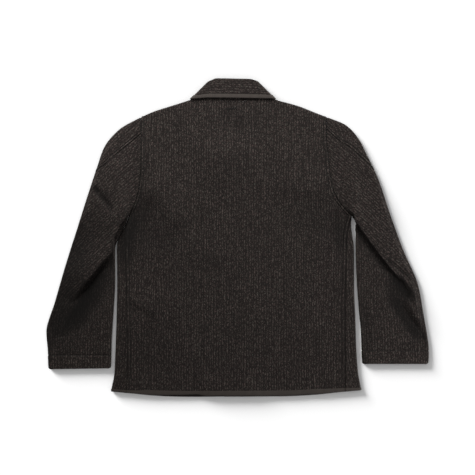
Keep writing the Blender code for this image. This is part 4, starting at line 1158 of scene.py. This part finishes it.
rolls, edges = corner_points((LEFT_FOLD, BACK_LEFT, BACK_CENTRE, BACK_RIGHT, RIGHT_FOLD))
collar_depth = np.hypot(*(edges[2] - rolls[2]))
curl = np.linspace(QUARTER_TURN, 0.0, COLLAR_CURL_ROWS)
tape_share = 1.0 - COLLAR_TAPE_WIDTH / collar_depth
curl_shares = COLLAR_CURL_SHARE * (1.0 - np.sin(curl))
fall_shares = np.concatenate([curl_shares, np.linspace(COLLAR_CURL_SHARE, tape_share, FALL_ROWS)[1:], [1.0]])
fall_radii = np.full(len(fall_shares), FALL_RADIUS)
fall_radii[:len(curl)] -= COLLAR_CURL * (1.0 - np.cos(curl))
fall_grid = collar_points(rolls, edges, fall_leaf, fall_shares, fall_radii)
fall, fall_outer, fall_inner = collar_shell("collar_fall_cloth", "collar_fall", fall_grid, collar_depth)

stand_top = blend(rolls, edges, STAND_TOP_SHARE)
inwards = unit(np.array([stand_top[1] - stand_top[0], stand_top[3] - stand_top[4]]))
stand_top[[0, 4]] += inwards * (FALL_RADIUS - STAND_RADIUS)
neck_x = CENTRE_X + NECK_HALF * np.array(NECK_SHARES)
neck_line = np.column_stack([neck_x, shoulder_y(neck_x) + STAND_SEAM_GAP])
stand_radii = np.full(STAND_ROWS, STAND_RADIUS)
stand_grid = collar_points(stand_top, neck_line, stand_leaf, np.linspace(0.0, 1.0, STAND_ROWS), stand_radii)
stand, _, _ = collar_shell("collar_stand_cloth", "collar_stand", stand_grid, collar_depth)

# %% [markdown]
# ## Tapes
# A tape is folded over the raw edge of the collar and of the hem, half on either side. It is a U-shaped
# profile carried along the edge: up one face, round the edge in a half turn and back along the other face.
# The hem's tape is narrower towards the side edges and where the hem is drawn up.

# %% Bind the edges
TAPE_BULGE, TAPE_GIRTH = 0.4, 20.0
EDGE_TURNS = np.radians(np.linspace(75.0, -75.0, 7))


def tube_faces(number):
    """Faces of a row of closed rings: quads from ring to ring, and quads across the first and last ring.

    number holds the points' numbers. Its last two axes are the rings and the places round them. The cap of a
    ring with an odd count leaves out the middle place.
    """
    ahead = np.roll(number, -1, axis=-1)
    walls = [number[..., :-1, :], ahead[..., :-1, :], ahead[..., 1:, :], number[..., 1:, :]]
    faces = [np.stack(walls, axis=-1).reshape(-1, 4)]
    half = number.shape[-1] // 2
    for ring, way in ((number[..., 0, :], 1), (number[..., -1, :], -1)):
        near, far = ring[..., :half], ring[..., ::-1][..., :half]
        cap = np.stack([near[..., :-1], far[..., :-1], far[..., 1:], near[..., 1:]], axis=-1)
        faces.append(cap[..., ::way].reshape(-1, 4))
    return np.concatenate(faces)


def bind(name, node, outer, inner, material, reach=1.0):
    """Tape folded over a cloth edge.

    outer and inner are two rows of points each: the cloth edge, then the line where a tape of full width
    ends. The tape covers the share reach of that width.
    """
    outward = unit(outer - inner)
    past_edge = unit(outer[0] - outer[1])
    far, near = TAPE_STEP, SEAM_GAP
    outer_end, inner_end = blend(outer[0], outer[1], reach), blend(inner[0], inner[1], reach)
    middle = 0.5 * (outer[0] + inner[0])
    half = 0.5 * np.linalg.norm(outer[0] - inner[0], axis=-1, keepdims=True) + far
    turned = [
        middle + outward[0] * half * np.sin(turn) + past_edge * (far + TAPE_BULGE) * np.cos(turn)
        for turn in EDGE_TURNS
    ]
    outside = [outer_end + outward[1] * far, outer[0] + outward[0] * far]
    outside += turned + [inner[0] - outward[0] * far, inner_end - outward[1] * far]
    inside = [
        inner_end - outward[1] * near,
        inner[0] - outward[0] * near + past_edge * near,
        outer[0] + outward[0] * near + past_edge * near,
        outer_end + outward[1] * near,
    ]
    section = np.stack(outside + inside, axis=1)
    count, sides = section.shape[:2]
    faces = tube_faces(np.arange(count * sides).reshape(count, sides))
    turned_way = np.cross(section[0, 1] - section[0, 0], section[1, 0] - section[0, 0])
    if turned_way @ outward[1, 0] < 0:
        faces = faces[:, ::-1]
    made = add_mesh(name, section.reshape(-1, 3), faces, material)
    length = np.cumsum(np.linalg.norm(np.diff(section[:, 1], axis=0, prepend=section[:1, 1]), axis=-1))
    across = np.linspace(0.0, TAPE_GIRTH, sides)
    grain = np.stack(np.broadcast_arrays(across[None, :], length[:, None]), axis=-1) / RIB_PITCH
    add_grain(made, grain.reshape(-1, 2)[faces])
    sew_in(made, [node])
    return made


def bind_hem(name, node, outer, inner):
    """Hem tape, as wide at each point as the hem's table says."""
    return bind(name, node, outer, inner, hem_tape, along_hem("reach", outer[0, :, :1]))


bind("collar_tape_binding", "collar_binding", fall_outer[[-1, -2]], fall_inner[[-1, -2]], collar_tape)
bind_hem("hem_tape_back", "hem_binding_back", back_outer[:2], back_inner[:2])
hem_left = bind_hem("hem_tape_left", "hem_binding_front_left", left_outer[:2], left_inner[:2])
bind_hem("hem_tape_right", "hem_binding_front_right", right_outer[:2], right_inner[:2])

# %% [markdown]
# ## Stitches
# Rows of dark thread hold the welts, the cuff hems and one short bar under the neck. A stitch is a small
# spindle lying in its groove, and a row is many of them at an even pitch along a path on the cloth. All the
# stitches of a row are one mesh, made from arrays.

# %% Sew the rows
STITCH_LENGTH, STITCH_PITCH, STITCH_RADIUS, STITCH_SIDES = 3.0, 4.0, 0.4, 6
STITCH_LIFT, STITCH_TIP = 0.1, 0.02
# Places along a stitch and round it, as shares of its length and its radius
SPINDLE = np.array([(-0.5, 0.0), (-0.36, 1.0), (0.36, 1.0), (0.5, 0.0)])
SLEEVE_SEWN_ROWS, BACK_SEWN_ROWS = slice(4, -4), slice(1, BODY_ROWS)
CUFF_POINTS, CUFF_ROWS, CUFF_SUNK = 200, np.array([[-0.05], [0.0], [0.05]]), 0.6
BAR_ENDS, BAR_POINTS, BAR_LIFT = (-28.5, -1.0), 20, 0.35
BAR_ROWS = (295.4, 294.4, 293.4, 292.4)


def sew_row(name, path, normals):
    """Spindles at an even pitch along a path: rings of points about its heading, joined into one mesh."""
    steps = np.linalg.norm(np.diff(path, axis=0), axis=-1)
    length = np.concatenate([[0.0], np.cumsum(steps)])
    spots = np.arange(0.5 * STITCH_PITCH, length[-1], STITCH_PITCH)
    at_spots = []
    for values in (path, normals, np.gradient(path, axis=0)):
        columns = [np.interp(spots, length, values[:, axis]) for axis in range(3)]
        at_spots.append(np.column_stack(columns)[:, None, None, :])
    centre, up, heading = at_spots[0], unit(at_spots[1]), unit(at_spots[2])
    across = unit(np.cross(up, heading))
    turn = (np.arange(STITCH_SIDES) * FULL_TURN / STITCH_SIDES)[:, None]
    ring = np.cos(turn) * across + np.sin(turn) * up
    along = heading * (SPINDLE[:, 0] * STITCH_LENGTH)[:, None, None]
    radius = (SPINDLE[:, 1] * STITCH_RADIUS + STITCH_TIP)[:, None, None]
    points = centre + up * STITCH_LIFT + along + ring * radius
    number = np.arange(len(spots) * len(SPINDLE) * STITCH_SIDES).reshape(points.shape[:-1])
    sew_in(add_mesh(name, points.reshape(-1, 3), tube_faces(number), thread), [])


def cuff_path(sleeve):
    """The stitched line round the upper face of a cuff, and the cloth's normals along it."""
    place = sleeve_section(sleeve.sections, sleeve.cuff_line[0])
    top = np.linspace(0.0, place["quarter"] * 2.0 + place["top_run"], CUFF_POINTS)[None, :]
    share = np.clip((top - place["quarter"]) / place["width"], 0.0, 1.0)
    rows = blend(*sleeve.cuff_line, share) + CUFF_ROWS
    points, _, _ = sleeve_surface(sleeve, rows, np.repeat(top, len(rows), axis=0))
    normals = grid_normals(points, UP)
    return points[1] - normals[1] * CUFF_SUNK, normals[1]


welt_column = int(np.argmin(np.abs(SEAM_STEPS - WELT)))
for side_name, index in (("left", welt_column), ("right", -1 - welt_column)):
    path, normals = back_outer[BACK_SEWN_ROWS, index], back_normals[BACK_SEWN_ROWS, index]
    sew_row(f"stitches_back_{side_name}", path, normals)
for side_name, pieces in (("left", left_sleeve), ("right", right_sleeve)):
    _, outer, normals = pieces["top"]
    path, normals = outer[SLEEVE_SEWN_ROWS, -1 - welt_column], normals[SLEEVE_SEWN_ROWS, -1 - welt_column]
    sew_row(f"stitches_sleeve_{side_name}", path, normals)
for sleeve in (LEFT, RIGHT):
    sew_row(f"stitches_cuff_{sleeve.name}", *cuff_path(sleeve))
bar_x = np.linspace(*BAR_ENDS, BAR_POINTS)
bar_normals = np.repeat([UP], BAR_POINTS, axis=0)
for row_number, row_y in enumerate(BAR_ROWS, start=1):
    bar_y = np.full_like(bar_x, row_y)
    bar_z = back_height(bar_x, bar_y, np.ones_like(bar_x)) + fold_shift(BACK_FOLDS, bar_x, bar_y)[:, 2]
    path = np.column_stack([bar_x, bar_y, bar_z + BAR_LIFT])
    sew_row(f"stitches_neck_bar_{row_number}", path, bar_normals)

# %% [markdown]
# ## Buttons
# Five dark buttons close the front, underneath. Each is turned like wood on a lathe: a half profile with a
# rounded rim and a dished face is carried round in many steps.

# %% Turn the buttons
BUTTON_RADIUS, BUTTON_THICKNESS, BUTTON_SIDES = 9.5, 2.4, 48
BUTTON_TOP_Y, BUTTON_PITCH, BUTTON_COUNT = 165.0, 100.0, 5
# From the back's middle round the rim to the face's middle: shares of the radius and of the thickness
BUTTON_PROFILE = np.array([
    (0.02, 1.0), (0.84, 1.0), (0.93, 0.93), (0.985, 0.8), (1.0, 0.62), (0.98, 0.3), (0.94, 0.08),
    (0.88, 0.0), (0.74, 0.0), (0.68, 0.05), (0.62, 0.11), (0.56, 0.125), (0.02, 0.125),
])


def make_button(name, node, centre_y):
    """The profile carried round a centre by the cosine and sine of each turn."""
    turn = np.arange(BUTTON_SIDES) * FULL_TURN / BUTTON_SIDES
    radius = BUTTON_PROFILE[:, :1] * BUTTON_RADIUS
    x = CENTRE_X + radius * np.cos(turn)
    y = centre_y + radius * np.sin(turn)
    z = BUTTON_PROFILE[:, 1:] * BUTTON_THICKNESS + np.zeros_like(x)
    points = np.stack([x, y, z], axis=-1).reshape(-1, 3)
    faces = tube_faces(np.arange(x.size).reshape(x.shape))[:, ::-1]
    sew_in(add_mesh(name, points, faces, horn), [node])


for index in range(BUTTON_COUNT):
    make_button(f"horn_button_{index + 1}", f"button_{index + 1}", BUTTON_TOP_Y - BUTTON_PITCH * index)

# %% [markdown]
# ## Stage, light and camera
# The surface is plain white. The jacket's light is soft and comes from above the collar, as from a high
# window, with a weaker fill from the right. The fill leaves out the left sleeve and the left front, which
# have a weak light of their own. Two suns light only the surface and throw the jacket's soft shadow on it.
# The camera looks straight down from far off, so the jacket is seen almost without perspective.

# %% Set the stage
# The field is as wide as the photo at the height of the cloth. The floor's sizes are in millimetres
PHOTO_PIXELS, PIXEL_SIZE = 475, 2.28
FIELD = PHOTO_PIXELS * PIXEL_SIZE * MM
CAMERA_HEIGHT, FLAT_HEIGHT, SENSOR_WIDTH = 4.0, 0.008, 36.0
FLOOR_REACH, FLOOR_DEPTH, FLOOR_WHITE = 4000.0, 0.4, 0.93
WORLD_LIGHT = 0.15
WHITE, WARM = (1.0, 1.0, 1.0), (1.0, 0.99, 0.97)


def make_floor():
    """A white square, a little below the cloth."""
    material, _, shader = new_material("white_surface", roughness=0.9, specular=0.0)
    shader.inputs["Base Color"].default_value = (FLOOR_WHITE, FLOOR_WHITE, FLOOR_WHITE, 1.0)
    corners = np.array([(-1.0, -1.0, 0.0), (1.0, -1.0, 0.0), (1.0, 1.0, 0.0), (-1.0, 1.0, 0.0)])
    made = add_mesh("floor", corners * FLOOR_REACH - FLOOR_DEPTH * UP, [(0, 1, 2, 3)], material)
    return made


def facing(heading):
    """Turns that point a light, which shines down at rest, along a heading."""
    tilt = np.arctan2(np.hypot(heading[0], heading[1]), -heading[2])
    return tilt, 0.0, np.arctan2(heading[1], heading[0]) - QUARTER_TURN


def add_light(light):
    """A light at a place, turned to face a target, that shines only on the objects in lit.

    spread is the side of a square panel in metres, or the angle of a sun in degrees. All objects still cast
    shadows.
    """
    data = bpy.data.lights.new(light.name, light.kind)
    if light.kind == "SUN":
        data.angle = np.radians(light.spread)
    else:
        data.shape = "SQUARE"
        data.size = light.spread
    data.energy = light.power
    data.color = light.colour
    made = add_object(light.name, data)
    made.location = light.place
    made.rotation_euler = facing(np.array(light.target) - np.array(light.place))
    receivers = bpy.data.collections.new(f"lit_by_{light.name}")
    for item in light.lit:
        receivers.objects.link(item)
    made.light_linking.receiver_collection = receivers


def make_world():
    """An even white sky."""
    world = bpy.data.worlds.new("soft_sky")
    world.use_nodes = True
    background = world.node_tree.nodes["Background"]
    background.inputs["Color"].default_value = (*WHITE, 1.0)
    background.inputs["Strength"].default_value = WORLD_LIGHT
    bpy.context.scene.world = world


def add_camera():
    """A camera straight above, with the lens that fits the field at its height."""
    data = bpy.data.cameras.new("overhead")
    data.sensor_width = SENSOR_WIDTH
    data.lens = SENSOR_WIDTH * CAMERA_HEIGHT / FIELD
    made = add_object("overhead", data)
    made.location = (0.0, 0.0, CAMERA_HEIGHT + FLAT_HEIGHT)
    bpy.context.scene.camera = made


floor = make_floor()
jacket = [item for item in bpy.data.objects if item.type == "MESH" and item is not floor]
turned_away = [piece for piece, _, _ in left_sleeve.values()] + [front_left, hem_left]
facing_fill = [item for item in jacket if item not in turned_away]
Light = namedtuple("Light", "name kind place target spread power colour lit")
LIGHTS = [
    Light("window", "AREA", (-0.2, 1.4, 0.75), (0.0, -0.05, 0.0), 0.6, 38.4, WARM, jacket),
    Light("side_fill", "AREA", (1.35, -0.5, 0.55), (0.1, -0.05, 0.0), 0.5, 12.6, WHITE, facing_fill),
    Light("sleeve_light", "AREA", (0.2, 1.4, 0.75), (-0.25, 0.0, 0.0), 0.6, 8.0, WARM, turned_away),
    Light("table_light", "SUN", (-1.0, 1.0, 0.4), (0.0, 0.0, 0.0), 28.0, 7.7, WHITE, [floor]),
    Light("table_fill", "SUN", (0.0, 0.0, 1.0), (0.0, 0.0, 0.0), 170.0, 1.0, WHITE, [floor]),
]
for light in LIGHTS:
    add_light(light)
make_world()
add_camera()
bpy.context.scene.view_settings.view_transform = "Standard"
print("Lights:", [light.name for light in LIGHTS])

# %% [markdown]
# ## The cut cloth
# Every cloth piece is listed with the size it was cut to, in metres, and what it lies on. Each
# size was measured along the shell, and the area of a shell's one face is printed to compare with it.

Cut = namedtuple("Cut", "piece width length area rests_on")
CUTS = [
    Cut(back, 0.508, 0.672, 0.318, [front_left, front_right]),
    Cut(front_left, 0.340, 0.680, 0.182, [floor]),
    Cut(front_right, 0.350, 0.680, 0.188, [floor]),
    Cut(left_sleeve["under"][0], 0.240, 0.600, 0.083, [left_sleeve["top"][0]]),
    Cut(left_sleeve["top"][0], 0.240, 0.620, 0.0535, [floor]),
    Cut(right_sleeve["under"][0], 0.262, 0.600, 0.084, [right_sleeve["top"][0]]),
    Cut(right_sleeve["top"][0], 0.234, 0.615, 0.052, [floor]),
    Cut(fall, 0.450, 0.055, 0.022, [stand]),
    Cut(stand, 0.440, 0.055, 0.0168, [back]),
]
for cut in CUTS:
    one_face = sum(face.area for face in cut.piece.data.polygons) / 2.0
    print(cut.piece.name, "one face", round(one_face, 4), "square metres")
